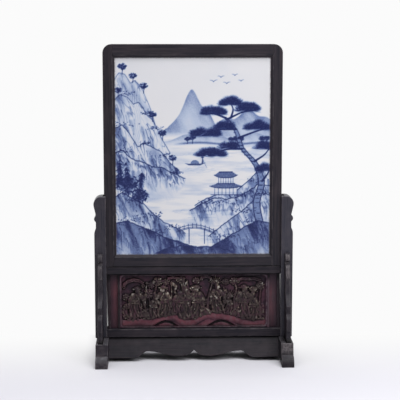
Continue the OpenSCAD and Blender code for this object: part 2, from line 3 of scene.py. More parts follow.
import bmesh
import bpy
import numpy as np
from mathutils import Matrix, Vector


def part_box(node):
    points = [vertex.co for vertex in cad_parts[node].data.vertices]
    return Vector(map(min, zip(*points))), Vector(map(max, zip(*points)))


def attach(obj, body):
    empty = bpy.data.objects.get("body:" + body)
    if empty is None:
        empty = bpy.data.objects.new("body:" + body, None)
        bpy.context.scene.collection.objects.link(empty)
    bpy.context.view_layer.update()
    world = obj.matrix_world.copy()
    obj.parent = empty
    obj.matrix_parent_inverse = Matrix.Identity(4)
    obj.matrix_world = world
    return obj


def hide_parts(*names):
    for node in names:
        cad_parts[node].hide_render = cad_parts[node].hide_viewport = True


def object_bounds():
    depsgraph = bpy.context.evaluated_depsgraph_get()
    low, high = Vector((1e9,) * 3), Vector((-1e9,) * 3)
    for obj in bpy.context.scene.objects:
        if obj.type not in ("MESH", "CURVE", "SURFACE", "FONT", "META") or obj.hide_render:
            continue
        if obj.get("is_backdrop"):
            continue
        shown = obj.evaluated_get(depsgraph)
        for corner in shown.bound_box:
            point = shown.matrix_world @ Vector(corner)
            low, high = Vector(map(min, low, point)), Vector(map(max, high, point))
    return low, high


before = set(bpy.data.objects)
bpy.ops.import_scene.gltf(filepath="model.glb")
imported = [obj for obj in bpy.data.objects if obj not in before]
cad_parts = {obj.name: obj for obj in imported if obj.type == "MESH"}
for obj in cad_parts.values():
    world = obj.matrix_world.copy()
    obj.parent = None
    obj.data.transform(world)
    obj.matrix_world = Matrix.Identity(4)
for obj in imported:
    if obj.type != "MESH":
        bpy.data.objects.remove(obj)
cad_box = [list(corner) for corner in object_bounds()]
scene = bpy.context.scene
scene.view_settings.view_transform = "Standard"


# Studio: a pale floor that runs out into a white backdrop, a broad soft lamp above the front,
# weaker ones at the sides, and the camera at the photograph's viewing angle.
camera_place = (-0.0569, -1.928, 0.532)
camera_turn = (math.radians(82.0), 0.0, math.radians(-2.0))
camera_lens = 108.0
camera_sensor = 36.0
floor_colour = (0.645, 0.64, 0.685, 1.0)
backdrop_white = (0.965, 0.965, 0.965, 1.0)
ambient_low = 0.05
ambient_high = 0.46
ambient_full_at = 0.8
mirror_from = -0.2
mirror_to = 0.3
floor_half = 4.0
fade_from = -0.195
fade_to = 0.15
horizon_from = 0.45
horizon_to = 1.1
shadow_half_w = 0.135
shadow_half_d = 0.105
shadow_fade = 0.05


def node(tree, kind, inputs=None, **options):
    """Adds a node, sets its options, and fills its inputs with values or with links from sockets."""
    new = tree.nodes.new(kind)
    for option, value in options.items():
        setattr(new, option, value)
    for key, value in (inputs or {}).items():
        if isinstance(value, bpy.types.NodeSocket):
            tree.links.new(value, new.inputs[key])
        else:
            new.inputs[key].default_value = value
    return new


def maths(tree, operation, first, second=0.0):
    """One step of arithmetic on values or sockets."""
    return node(tree, "ShaderNodeMath", {0: first, 1: second}, operation=operation).outputs[0]


def times(tree, first, second):
    """The product of two values or sockets."""
    return maths(tree, "MULTIPLY", first, second)


def spread(tree, value, low, high, interpolation="LINEAR"):
    """The value with the span from low to high stretched over 0 to 1."""
    span = {"Value": value, "From Min": low, "From Max": high}
    return node(tree, "ShaderNodeMapRange", span, interpolation_type=interpolation).outputs[0]


def between(tree, share, low, high):
    """A value that goes from low to high as share goes from 0 to 1."""
    return node(tree, "ShaderNodeMapRange", {"Value": share, "To Min": low, "To Max": high}).outputs[0]


def parts_of(tree, vector):
    """The X, Y and Z of a vector socket."""
    return node(tree, "ShaderNodeSeparateXYZ", {0: vector}).outputs


def seen_directly(tree, mirrored):
    """One where the camera sees the backdrop, or glass does, and mirrored where a reflection shows it."""
    path = node(tree, "ShaderNodeLightPath").outputs
    direct = maths(tree, "MAXIMUM", path["Is Camera Ray"], path["Is Transmission Ray"])
    return maths(tree, "MAXIMUM", direct, times(tree, path["Is Glossy Ray"], mirrored))


def new_material(name):
    """A material with an empty node tree, and the place on the piece as a socket."""
    material = bpy.data.materials.new(name)
    material.use_nodes = True
    tree = material.node_tree
    tree.nodes.clear()
    return material, tree, node(tree, "ShaderNodeTexCoord").outputs["Object"]


def linked(name, data):
    """A new object at the origin, linked to the scene."""
    new = bpy.data.objects.new(name, data)
    scene.collection.objects.link(new)
    return new


def mesh_object(name, shape, material):
    """Turns a finished bmesh into an object in its material."""
    mesh = bpy.data.meshes.new(name)
    shape.to_mesh(mesh)
    shape.free()
    mesh.materials.append(material)
    return linked(name, mesh)


camera_data = bpy.data.cameras.new("camera")
camera_data.lens = camera_lens
camera_data.sensor_width = camera_sensor
camera = linked("camera", camera_data)
camera.location = camera_place
camera.rotation_euler = camera_turn
scene.camera = camera

world = bpy.data.worlds.new("studio")
scene.world = world
world.use_nodes = True
tree = world.node_tree
tree.nodes.clear()
towards = parts_of(tree, node(tree, "ShaderNodeTexCoord").outputs["Generated"])
ambient = between(tree, spread(tree, towards["Z"], 0.0, ambient_full_at), ambient_low, ambient_high)
shown = seen_directly(tree, spread(tree, towards["Y"], mirror_from, mirror_to))
strength = between(tree, shown, ambient, 1.0)
sky = node(tree, "ShaderNodeBackground", {"Color": backdrop_white, "Strength": strength})
node(tree, "ShaderNodeOutputWorld", {"Surface": sky.outputs[0]})

floor_material, tree, spot = new_material("floor_paper")
place = parts_of(tree, spot)
back = spread(tree, place["Y"], fade_from, fade_to, "SMOOTHSTEP")
away = node(tree, "ShaderNodeVectorMath", {0: spot}, operation="LENGTH").outputs["Value"]
fade = maths(tree, "MAXIMUM", back, spread(tree, away, horizon_from, horizon_to, "SMOOTHSTEP"))
beside = maths(tree, "SUBTRACT", maths(tree, "ABSOLUTE", place["X"]), shadow_half_w)
before = maths(tree, "SUBTRACT", maths(tree, "ABSOLUTE", place["Y"]), shadow_half_d)
open_floor = spread(tree, maths(tree, "MAXIMUM", beside, before), 0.0, shadow_fade, "SMOOTHSTEP")
directly = seen_directly(tree, spread(tree, place["Y"], fade_from, fade_to))
shown = times(tree, times(tree, fade, open_floor), directly)
paper = node(tree, "ShaderNodeBsdfDiffuse", {"Color": floor_colour})
glow = node(tree, "ShaderNodeEmission", {"Color": backdrop_white})
joined = node(tree, "ShaderNodeMixShader", {0: shown, 1: paper.outputs[0], 2: glow.outputs[0]})
node(tree, "ShaderNodeOutputMaterial", {"Surface": joined.outputs[0]})
shape = bmesh.new()
bmesh.ops.create_grid(shape, x_segments=2, y_segments=2, size=floor_half)
floor = mesh_object("floor", shape, floor_material)
floor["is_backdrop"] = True


def soft_lamp(name, place, aim, width, height, watts):
    """A rectangular soft box at place that faces aim."""
    data = bpy.data.lights.new(name, "AREA")
    data.shape = "RECTANGLE"
    data.size = width
    data.size_y = height
    data.energy = watts
    lamp = linked(name, data)
    lamp.location = place
    run, depth, fall = np.array(aim) - np.array(place)
    tilt = math.atan2(math.hypot(run, depth), -fall)
    lamp.rotation_euler = (tilt, 0.0, math.atan2(depth, run) - math.pi / 2)


soft_lamp("top", (-0.12, 0.0, 1.75), (0.0, 0.0, 0.0), 1.5, 1.1, 15.0)
soft_lamp("key", (0.45, -1.15, 1.65), (0.0, 0.0, 0.25), 1.2, 0.7, 12.0)
soft_lamp("edge_light", (0.3, -0.75, 1.9), (0.0, 0.0, 0.0), 0.22, 0.22, 7.0)
soft_lamp("right_fill", (0.75, -0.8, 0.75), (0.1, 0.0, 0.2), 0.5, 0.6, 4.6)
soft_lamp("left_fill", (-1.2, -0.9, 1.25), (0.0, 0.0, 0.25), 1.0, 0.8, 2.6)


# Feet: two long sledge feet of dark hardwood, sawn and shaped with a hollow above a rounded toe,
# arched underneath, and mortised for the posts and the brackets. Waxed, and rubbed pale along the edges.
foot_ease = 0.0011
wood_dark = (0.0140, 0.0134, 0.0188, 1.0)
wood_warm = (0.047, 0.0370, 0.0430, 1.0)
wood_rubbed = (0.115, 0.102, 0.108, 1.0)
# and the grime tone as grime and also as painted shade at joints and on shaded pieces
# the dust tone also serves as painted sheen on upward faces, the pale bluish tone as painted sheen on the
# posts,
wood_dust_sheen = (0.13, 0.127, 0.14, 1.0)
post_sheen_tone = (0.095, 0.098, 0.132, 1.0)
wood_grime_shade = (0.0035, 0.0028, 0.0040, 1.0)
wood_grain = 330.0
pore_fineness = 5.0
patch_scale = 26.0
mottle_scale = 105.0
wear_scale = 90.0
drift_scale = 130.0
streak_share = 0.6
gloss_range = 0.14
dust_dulls = 0.35
grain_strength = 0.25
grain_depth = 0.0003
ahead_from = -0.35
ahead_to = -0.95
# share of a joint's reach over which its grime and painted shade are full
grime_shade_core = 0.4
along_x = (0.05, 1.0, 1.0)
along_y = (1.0, 0.05, 1.0)
along_z = (1.0, 1.0, 0.05)
merge_within = 0.00025
flat_within = math.radians(0.6)
arris_from = math.radians(24)


def eased_copy(source, radius, material):
    """A copy of a CAD node whose arrises are rounded by radius. The rounded faces carry the value rubbed."""
    shape = bmesh.new()
    shape.from_mesh(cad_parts[source].data)
    rubbed = shape.faces.layers.float.new("rubbed")
    bmesh.ops.remove_doubles(shape, verts=shape.verts, dist=merge_within)
    bmesh.ops.dissolve_limit(shape, angle_limit=flat_within, verts=shape.verts, edges=shape.edges)
    arrises = [edge for edge in shape.edges
               if len(edge.link_faces) == 2 and edge.calc_face_angle() > arris_from]
    rounded = bmesh.ops.bevel(shape, geom=arrises, offset=radius, offset_type="OFFSET", segments=2,
                              profile=0.5, affect="EDGES", clamp_overlap=False)
    for face in rounded["faces"]:
        face[rubbed] = 1.0
    for face in shape.faces:
        face.smooth = True
    piece = mesh_object(source + "_wood", shape, material)
    weighted = piece.modifiers.new("weighted", "WEIGHTED_NORMAL")
    weighted.weight = 100
    weighted.keep_sharp = False
    return piece


def new_group(name, vectors, values, outputs):
    """A shader node group that takes vectors and values and puts out values, with its inner sockets."""
    group = bpy.data.node_groups.new(name, "ShaderNodeTree")
    for labels, way, kind in ((vectors, "INPUT", "Vector"), (values, "INPUT", "Float"),
                              (outputs, "OUTPUT", "Float")):
        for label in labels:
            group.interface.new_socket(label, in_out=way, socket_type="NodeSocket" + kind)
    return group, node(group, "NodeGroupInput").outputs, node(group, "NodeGroupOutput").inputs


def mixed(tree, share, first, second):
    """A colour that goes from first to second as share goes from 0 to 1."""
    return node(tree, "ShaderNodeMix", {0: share, 6: first, 7: second}, data_type="RGBA").outputs[2]


def layered(tree, tone, layers):
    """A tone with further colours laid over it, each by its share."""
    for share, colour in layers:
        tone = mixed(tree, share, tone, colour)
    return tone


def attribute(tree, name):
    """A value stored on the mesh, as a socket."""
    return node(tree, "ShaderNodeAttribute", attribute_name=name).outputs["Fac"]


def noise(tree, vector, scale, detail, **more):
    """Soft noise over a vector."""
    inputs = {"Vector": vector, "Scale": scale, "Detail": detail, **more}
    return node(tree, "ShaderNodeTexNoise", inputs).outputs[0]


group, given, result = new_group(
    "wood grain", ("Vector", "Stretch"), ("Scale",), ("Streak", "Pores", "Patch", "Mottle"))
stretched = {0: given["Vector"], 1: given["Stretch"]}
drawn = node(group, "ShaderNodeVectorMath", stretched, operation="MULTIPLY").outputs[0]
for label, field, low, high in (
        ("Streak", noise(group, drawn, given["Scale"], 5.0, Roughness=0.62, Distortion=0.4), 0.36, 0.68),
        ("Pores", noise(group, drawn, times(group, given["Scale"], pore_fineness), 2.0), 0.54, 0.74),
        ("Patch", noise(group, given["Vector"], patch_scale, 3.0), 0.5, 0.72),
        ("Mottle", noise(group, given["Vector"], mottle_scale, 4.0), 0.5, 0.7)):
    group.links.new(spread(group, field, low, high), result[label])
grain_group = group

group, given, result = new_group("rubbed edge", ("Vector",), ("Edge", "Amount"), ("Mask",))
broken = spread(group, noise(group, given["Vector"], wear_scale, 4.0), 0.4, 0.72)
group.links.new(times(group, times(group, given["Edge"], broken), given["Amount"]), result["Mask"])
wear_group = group

# Dust settles on upward faces, and the same pale tone there is also painted sheen on the tops.
group, given, result = new_group("settled dust", ("Normal", "Vector"), ("Amount",), ("Mask",))
upward_face = spread(group, parts_of(group, given["Normal"])["Z"], 0.3, 0.95)
drift = spread(group, noise(group, given["Vector"], drift_scale, 5.0), 0.35, 0.75)
group.links.new(times(group, times(group, upward_face, drift), given["Amount"]), result["Mask"])
dust_sheen_group = group


def placed(tree, group, inputs):
    """Places a shader node group in a material, fills its inputs and gives its outputs."""
    return node(tree, "ShaderNodeGroup", inputs, node_tree=group).outputs


def coated(tree, inputs):
    """Ends a material's tree in a Principled surface with these inputs."""
    surface = node(tree, "ShaderNodeBsdfPrincipled", inputs)
    node(tree, "ShaderNodeOutputMaterial", {"Surface": surface.outputs[0]})


def dark_wood(name, stretch, warmth=0.5, wear=0.8, dust_and_sheen=0.5, shine=0.15, matt=0.42, scuffed=0.0, fading_and_sheen=0.0,
              fading_sheen_tone=post_sheen_tone, stain_and_shade=0.0, handled=None, joints=()):
    """Waxed dark hardwood whose grain runs the way that stretch shortens, rubbed in patches by scuffed.
    A pale tone over it is fading on some pieces and painted sheen on the posts, a dark tone is stain and
    painted shade, and a pale tone on upward faces is dust and also painted sheen on the tops. Handled gives
    how much the front is rubbed and between which heights, and joints where grime and painted shade lie
    and how far they reach."""
    material, tree, spot = new_material(name)
    height = parts_of(tree, spot)["Z"]
    normal = node(tree, "ShaderNodeNewGeometry").outputs["Normal"]
    edge = attribute(tree, "rubbed")
    grain = placed(tree, grain_group, {"Vector": spot, "Stretch": stretch, "Scale": wood_grain})
    worn = placed(tree, wear_group, {"Edge": edge, "Vector": spot, "Amount": wear})["Mask"]
    dust_sheen_mask = placed(tree, dust_sheen_group, {"Normal": normal, "Vector": spot, "Amount": dust_and_sheen})["Mask"]
    # a pale tone that is fading or painted sheen by piece, and a dark tone that is stain and painted shade
    tone = layered(tree, wood_dark, (
        (times(tree, grain["Patch"], warmth), wood_warm),
        (times(tree, grain["Streak"], streak_share), wood_warm), (fading_and_sheen, fading_sheen_tone), (stain_and_shade, wood_grime_shade),
        (times(tree, grain["Mottle"], scuffed), wood_rubbed), (worn, wood_rubbed)))
    if handled:
        amount, low, high = handled
        ahead = spread(tree, parts_of(tree, normal)["Y"], ahead_from, ahead_to)
        reached = times(tree, ahead, spread(tree, height, low, high))
        tone = mixed(tree, times(tree, reached, times(tree, grain["Streak"], amount)), tone, wood_rubbed)
    tone = mixed(tree, dust_sheen_mask, tone, wood_dust_sheen)
    # grime and painted shade along each joint
    for joint, reach in joints:
        away = maths(tree, "ABSOLUTE", maths(tree, "SUBTRACT", height, joint))
        tone = mixed(tree, spread(tree, away, reach, grime_shade_core * reach), tone, wood_grime_shade)
    gloss = between(tree, grain["Streak"], matt, matt + gloss_range)
    raised = maths(tree, "SUBTRACT", grain["Streak"], grain["Pores"])
    bump = node(tree, "ShaderNodeBump",
                {"Height": raised, "Strength": grain_strength, "Distance": grain_depth})
    roughness = maths(tree, "ADD", gloss, times(tree, dust_sheen_mask, dust_dulls))
    coated(tree, {"Base Color": tone, "Roughness": roughness, "Normal": bump.outputs[0],
                  "Specular IOR Level": shine})
    return material


def finished(source, radius, material, body):
    """An eased copy of a CAD node in its material, which stands for the node."""
    piece = eased_copy(source, radius, material)
    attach(piece, body)
    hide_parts(source)


# The left foot's top carries extra dust, which also paints light onto the top that the bracket and post
# shade;
# the right foot is made darker all over.
for source, dust_and_sheen, scuffed, stain_and_shade, handled in (("left_foot", 1.0, 0.2, 0.0, (0.5, 0.014, 0.004)),
                                              ("right_foot", 0.45, 0.08, 0.35, (1.5, 0.017, 0.027))):
    foot_wood = dark_wood(source + "_hardwood", along_y, wear=0.6, dust_and_sheen=dust_and_sheen, scuffed=scuffed, stain_and_shade=stain_and_shade,
                          handled=handled)
    finished(source, foot_ease, foot_wood, "stand")


# Posts: two uprights of the same hardwood, tenoned and wedged through the feet, with a rounded head
# above a bead between two necks, and a groove inside in which the screen slides.
post_ease = 0.0009
# Both posts take a pale bluish tone as painted sheen, stronger on the right post as painted light from that
# side,
# and their heavy dust on the heads' tops is also painted sheen.
for source, fading_and_sheen in (("left_post", 0.13), ("right_post", 0.21)):
    post_wood = dark_wood(source + "_hardwood", along_z, warmth=0.45, dust_and_sheen=0.9, shine=0.2, matt=0.24,
                          scuffed=0.1, fading_and_sheen=fading_and_sheen)
    finished(source, post_ease, post_wood, "stand")


# Wedges: thin slips of paler wood, sawn along the grain, driven into the post tenons from below
# and cut off flush under the feet.
wedge_ease = 0.0002
wedge_pale = (0.160, 0.105, 0.062, 1.0)
wedge_deep = (0.075, 0.045, 0.027, 1.0)
wedge_grain = 420.0
wedge_material, tree, spot = new_material("wedge_wood")
grain = placed(tree, grain_group, {"Vector": spot, "Stretch": along_z, "Scale": wedge_grain})
coated(tree, {"Base Color": mixed(tree, grain["Streak"], wedge_pale, wedge_deep), "Roughness": 0.8})
finished("post_tenon_wedges", wedge_ease, wedge_material, "stand")


# Brackets: four thin standing boards of the hardwood, sawn to a lobed outline, one before and one behind
# each post, let into a slot in the foot and stub-tenoned to the post.
bracket_ease = 0.0011
# grime and painted shade where the brackets meet the feet
bracket_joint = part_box("left_foot")[1].z
bracket_grime_shade = 0.008
rubbed_from = 0.115
rubbed_to = 0.150
for side, handled in (("left", 0.5), ("right", 1.4)):
    bracket_wood = dark_wood(side + "_bracket_hardwood", along_z, warmth=0.25, wear=0.6, dust_and_sheen=0.3,
                             handled=(handled, rubbed_from, rubbed_to),
                             joints=((bracket_joint, bracket_grime_shade),))
    for end in ("front", "rear"):
        finished(end + "_" + side + "_bracket", bracket_ease, bracket_wood, "stand")


# Rails: two cross members of the hardwood, tenoned between the posts. The screen stands on the upper one,
# and both are grooved for the carved panel and the uprights beside it.
rail_ease = 0.0007
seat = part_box("upper_rail")[1].z
apron_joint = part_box("lower_rail")[0].z
panel_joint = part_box("upper_rail")[0].z
# Grime and painted shadow lie along the seat of the screen and along the lower edges of both rails,
# and the rails are made a little darker.
rail_wood = dark_wood("rail_hardwood", along_x, wear=0.55, dust_and_sheen=0.05, shine=0.1, stain_and_shade=0.06,
                      joints=((seat, 0.0020), (panel_joint, 0.0018), (apron_joint, 0.0012)))
for source in ("upper_rail", "lower_rail"):
    finished(source, rail_ease, rail_wood, "stand")


# Struts and fillets: narrow hardwood uprights beside the carved panel and beside the posts, tongued into
# the rails' grooves, once lacquered like the panel and now worn, most of all on the right.
strut_ease = 0.0005
strut_red = (0.16, 0.085, 0.11, 1.0)
strut_rail_shadow = 0.014
# The left strut and both fillets are painted darker as painted shade beside the panel's raised edge and the
# posts,
# and all four carry a painted shadow of the upper rail along their tops.
for source, fading_and_sheen, stain_and_shade in (("left_strut", 0.25, 0.78), ("right_strut", 0.4, 0.0),
                             ("left_fillet", 0.25, 0.68), ("right_fillet", 0.1, 0.35)):
    strut_wood = dark_wood(source + "_hardwood", along_z, warmth=0.5, wear=0.9, dust_and_sheen=0.1, fading_and_sheen=fading_and_sheen,
                           fading_sheen_tone=strut_red, stain_and_shade=stain_and_shade, joints=((panel_joint, strut_rail_shadow),))
    finished(source, strut_ease, strut_wood, "stand")


# Carved panel: one wooden board carved in relief with robed figures among trees, clouds and hills inside
# a narrow border, lacquered dark red, its figures gilded and worn down to the high points.
# Its tongues stand in the rails' grooves. The carving is worked out as heights on a grid, in millimetres.
panel_low, panel_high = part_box("carved_panel")
panel_face = -0.0080
panel_ground = 6.0
panel_border = 3.0
border_corner = 5.0
panel_tongue = 0.0040
tongue_depth = 0.00285
tongue_lap = 0.0003
back_sink = 0.0001
relief_cell = 0.56
chip_w = 3.2
chip_depth = 0.45
ground_chip_w = 6
ground_chip_depth = 0.3
cleft_w = 4.4
lip_w = 2.2
half_across = panel_high.x * 1000
bottom = (panel_low.z + tongue_depth) * 1000
top = (panel_high.z - tongue_depth) * 1000
relief_columns = int(2 * half_across / relief_cell) + 1
relief_rows = int((top - bottom) / relief_cell) + 1
carved_x = np.linspace(-half_across, half_across, relief_columns)[None, :] + np.zeros((relief_rows, 1))
carved_z = np.linspace(bottom, top, relief_rows)[:, None] + np.zeros((1, relief_columns))
relief = np.zeros((relief_rows, relief_columns))
gilt = np.zeros_like(relief)
red = np.zeros_like(relief)
chisel = np.random.default_rng(17)


def cloudy(u, v, cell, seed, octaves=3):
    """Soft random tone between 0 and 1 that varies over about cell millimetres."""
    total = 0.0
    weight = 0.0
    for octave in range(octaves):
        lattice = np.random.default_rng(seed + octave).random((64, 64))
        x = u / cell * 2 ** octave + 7.3
        y = v / cell * 2 ** octave + 3.9
        i = np.floor(x).astype(int)
        j = np.floor(y).astype(int)
        s = (x - i) ** 2 * (3 - 2 * (x - i))
        t = (y - j) ** 2 * (3 - 2 * (y - j))
        low = lattice[j % 64, i % 64] * (1 - s) + lattice[j % 64, (i + 1) % 64] * s
        high = lattice[(j + 1) % 64, i % 64] * (1 - s) + lattice[(j + 1) % 64, (i + 1) % 64] * s
        total = total + (low * (1 - t) + high * t) * 0.5 ** octave
        weight += 0.5 ** octave
    return total / weight


def within(field):
    """The field kept between 0 and 1."""
    return np.clip(field, 0, 1)


def raise_form(height, gold, redness=0.0):
    """Keeps a form where it stands above the carving so far, with its share of gilding or red."""
    over = height > relief
    relief[over] = height[over]
    gilt[over] = gold
    red[over] = redness


def dome(x0, z0, half_w, half_h, foot, rise, gold, lean=0.0):
    """A rounded boss that rises above foot."""
    x = ((carved_x - x0) * math.cos(lean) + (carved_z - z0) * math.sin(lean)) / half_w
    z = ((carved_z - z0) * math.cos(lean) - (carved_x - x0) * math.sin(lean)) / half_h
    inside = 1 - x * x - z * z
    raise_form(np.where(inside > 0, foot + rise * np.sqrt(np.maximum(inside, 0)), 0), gold)


def limb(points, thick, thin, foot, rise, gold, folds=0.0, redness=0.0):
    """A rounded bar along points, with folds along it when folds is above 0."""
    gap = np.full_like(relief, 99.0)
    width = np.ones_like(relief)
    side = np.zeros_like(relief)
    steps = len(points) - 1
    for k in range(steps):
        (a, b), (c, d) = points[k], points[k + 1]
        run = c - a
        rise_z = d - b
        length = math.hypot(run, rise_z)
        t = within(((carved_x - a) * run + (carved_z - b) * rise_z) / length ** 2)
        new_gap = np.hypot(carved_x - a - t * run, carved_z - b - t * rise_z)
        new_width = (thick + (thin - thick) * (k + t) / steps) / 2
        nearer = new_gap / new_width < gap / width
        gap = np.where(nearer, new_gap, gap)
        width = np.where(nearer, new_width, width)
        side = np.where(nearer, ((carved_x - a) * rise_z - (carved_z - b) * run) / length, side)
    inside = 1 - (gap / width) ** 2
    height = foot + rise * np.sqrt(np.maximum(inside, 0)) + folds * np.cos(side / width * 9.0)
    raise_form(np.where(inside > 0, height, 0), gold, redness)


def thicket(x0, z0, half_w, half_h, count, gold):
    """A dark bank of rock and leaves behind a group: a low irregular mass under scattered leaf bosses."""
    x = (carved_x - x0) / half_w
    z = (carved_z - z0) / half_h
    ragged = 1.25 * cloudy(carved_x, carved_z, 7, int(x0) + 300) - 0.62
    inside = 1 - x ** 4 - z ** 4 + ragged
    knobs = 0.9 + 0.9 * cloudy(carved_x, carved_z, 4.5, int(x0) + 400)
    raise_form(np.where(inside > 0, knobs * within(inside * 4), 0), 0.3 * gold)
    for _ in range(count):
        dx, dz = chisel.uniform(-1, 1, 2)
        dome(x0 + half_w * dx, z0 + half_h * dz, 1.6 + 1.4 * chisel.random(), 0.9 + 0.6 * chisel.random(),
             1.3, 0.9 + 0.9 * chisel.random(), gold * (0.2 + 0.8 * chisel.random()), 3.1 * chisel.random())


# what a figure is built from, in shares of its height: bars by their points, breadth at both ends,
# foot, rise, gilding and folds, and bosses by their place, half breadth, half height, foot, rise and gilding
robe_bars = (
    (((-0.02, 0.07), (0, 0.3), (-0.01, 0.5)), 0.38, 0.25, 1.2, 2.0, 0.5, 0.3),
    (((-0.01, 0.48), (0.02, 0.76)), 0.28, 0.2, 1.5, 2.4, 0.6, 0.25),
    (((-0.12, 0.45), (-0.18, 0.24), (-0.13, 0.04)), 0.04, 0.1, 1.9, 2.4, 0.4, 0.0),
    (((-0.07, 0.45), (-0.03, 0.24), (0.1, 0.04)), 0.04, 0.1, 1.9, 2.4, 0.4, 0.0),
    (((0.1, 0.45), (0.17, 0.24), (0.21, 0.04)), 0.04, 0.1, 1.9, 2.4, 0.4, 0.0),
    (((-0.18, 0.05), (0.0, -0.01), (0.22, 0.05)), 0.04, 0.05, 1.6, 1.8, 0.45, 0.0),
    (((0.0, 0.74), (0.09, 0.6), (-0.07, 0.47)), 0.07, 0.05, 2.9, 2.0, 1.0, 0.0),
    (((0.1, 0.73), (0.24, 0.6), (0.3, 0.72)), 0.18, 0.13, 2.2, 2.6, 0.8, 0.15),
    (((0.25, 0.62), (0.29, 0.34)), 0.18, 0.07, 1.7, 2.2, 0.55, 0.3),
    (((-0.1, 0.72), (-0.2, 0.56), (0.07, 0.53)), 0.18, 0.12, 2.1, 2.6, 0.75, 0.15),
    (((-0.17, 0.56), (-0.23, 0.3)), 0.17, 0.07, 1.6, 2.2, 0.5, 0.3),
    (((-0.13, 0.47), (0.12, 0.46)), 0.06, 0.06, 3.0, 1.8, 1.0, 0.0),
    (((0.03, 0.46), (0.06, 0.24)), 0.05, 0.03, 2.8, 1.6, 1.0, 0.0),
    (((0.07, 0.8), (0.08, 0.71)), 0.06, 0.02, 3.4, 1.6, 0.5, 0.0))
robe_bosses = (
    (0.3, 0.74, 0.05, 0.05, 2.8, 2.2, 1.0), (0.08, 0.54, 0.05, 0.05, 2.8, 2.2, 1.0),
    (0.03, 0.87, 0.095, 0.105, 2.0, 3.4, 0.95), (0.09, 0.86, 0.025, 0.03, 3.9, 1.5, 1.0))
kneeling_bars = (
    (((0.0, 0.62), (-0.3, 0.4), (-0.42, 0.1)), 0.16, 0.12, 2.0, 2.2, 0.7, 0.0),
    (((0.1, 0.5), (0.34, 0.36), (0.42, 0.5)), 0.22, 0.14, 2.2, 2.4, 0.8, 0.15),
    (((0.3, 0.36), (0.26, 0.08)), 0.2, 0.1, 1.8, 2.0, 0.6, 0.2))
kneeling_bosses = ((0.2, 0.74, 0.13, 0.15, 2.0, 3.0, 1.0), (0.14, 0.92, 0.07, 0.06, 2.2, 2.4, 0.5))
hat_bars = {
    "cap": ((((-0.14, 0.93), (0.14, 0.94)), 0.04, 0.04, 2.6, 2.4, 0.8, 0.0),),
    "crown": tuple((((0.4 * across, 0.92), (across, up)), 0.06, 0.04, 2.2, 2.4, 0.9, 0.0)
                   for across, up in ((-0.07, 1.06), (0.0, 1.1), (0.07, 1.06))),
    "knot": ()}
hat_bosses = {
    "cap": ((0.0, 0.95, 0.1, 0.07, 2.0, 3.3, 0.3),),
    "crown": (),
    "knot": ((-0.02, 0.99, 0.055, 0.05, 2.2, 2.8, 0.3),)}
held_bars = {
    "none": (),
    "staff": ((((0.33, 0.05), (0.3, 0.72), (0.31, 1.12)), 0.035, 0.03, 2.2, 2.0, 0.8, 0.0),),
    "fan": tuple((((0.3, 0.75), (0.3 + 0.17 * math.sin(swing), 0.75 + 0.19 * math.cos(swing))),
                  0.03, 0.06, 2.0, 2.2, 0.9, 0.0) for swing in np.linspace(-0.7, 0.7, 5)),
    "banner": ((((-0.26, 0.0), (-0.27, 1.14)), 0.035, 0.03, 1.6, 1.8, 0.6, 0.0),
               (((-0.28, 1.08), (-0.42, 0.98), (-0.37, 0.8), (-0.45, 0.66)),
                0.13, 0.05, 1.3, 1.7, 0.7, 0.25))}
staff_knob = (0.31, 1.12, 0.035, 0.05, 1.9, 2.2, 0.6)


def figure(x0, z0, size, turn, lean, gold, bars, bosses):
    """A small robed figure at x0, z0 that looks left or right by turn."""
    def at(across, up):
        return x0 + across * size * turn + lean * up, z0 + up * size

    for points, thick, thin, foot, rise, share, folds in bars:
        limb([at(*point) for point in points], thick * size, thin * size, foot, rise, share * gold, folds)
    for across, up, half_w, half_h, foot, rise, share in bosses:
        dome(*at(across, up), half_w * size, half_h * size, foot, rise, share * gold)


def leaf_ring(x0, z0, radius, count, gold):
    """A cluster of leaves: rings of small bosses round a heart."""
    dome(x0, z0, radius, 0.9 * radius, 0.8, 1.8, 0.25 * gold)
    for ring, share in ((0.82, 1.0), (0.42, 0.6)):
        for k in range(int(count * share)):
            angle = 6.283 * k / int(count * share) + chisel.random() * 0.3
            dome(x0 + ring * radius * math.cos(angle), z0 + 0.9 * ring * radius * math.sin(angle),
                 0.3 * radius, 0.16 * radius, 1.6, 1.7 + 0.8 * (1 - ring),
                 gold * (0.3 + 0.7 * chisel.random()), angle)
    dome(x0, z0, 0.18 * radius, 0.18 * radius, 2.7, 1.6, gold)


def leaf_spray(x0, z0, radius, low, high, gold):
    """Long leaves that spring from one point between two angles."""
    for angle in np.linspace(low, high, 9):
        length = radius * (0.8 + 0.35 * chisel.random())
        tip = (x0 + length * math.cos(angle), z0 + length * math.sin(angle))
        limb([(x0, z0), tip], 0.22 * radius, 0.07 * radius, 1.2, 2.0, gold * (0.3 + 0.7 * chisel.random()))


def cloud_swag(points, width):
    """A cloud that hangs from the border in a long arch: two lacquered folds that end in curls."""
    for lift, share, foot in ((0.0, 1.0, 1.6), (0.7, 0.75, 2.3)):
        arch = [(a, b + lift * width) for a, b in points]
        limb(arch, share * width, 0.6 * share * width, foot, 1.7, 0.1, 0.0, 0.25)
    for (a, b), turn in ((points[0], 1), (points[-1], -1)):
        curl = []
        for t in np.linspace(0, 5, 9):
            reach = 0.75 * width * (1 - t / 9)
            curl.append((a + turn * reach * math.sin(t), b - reach * (1 - math.cos(t))))
        limb(curl, 0.7 * width, 0.35 * width, 1.6, 1.8, 0.3, 0.0, 0.2)


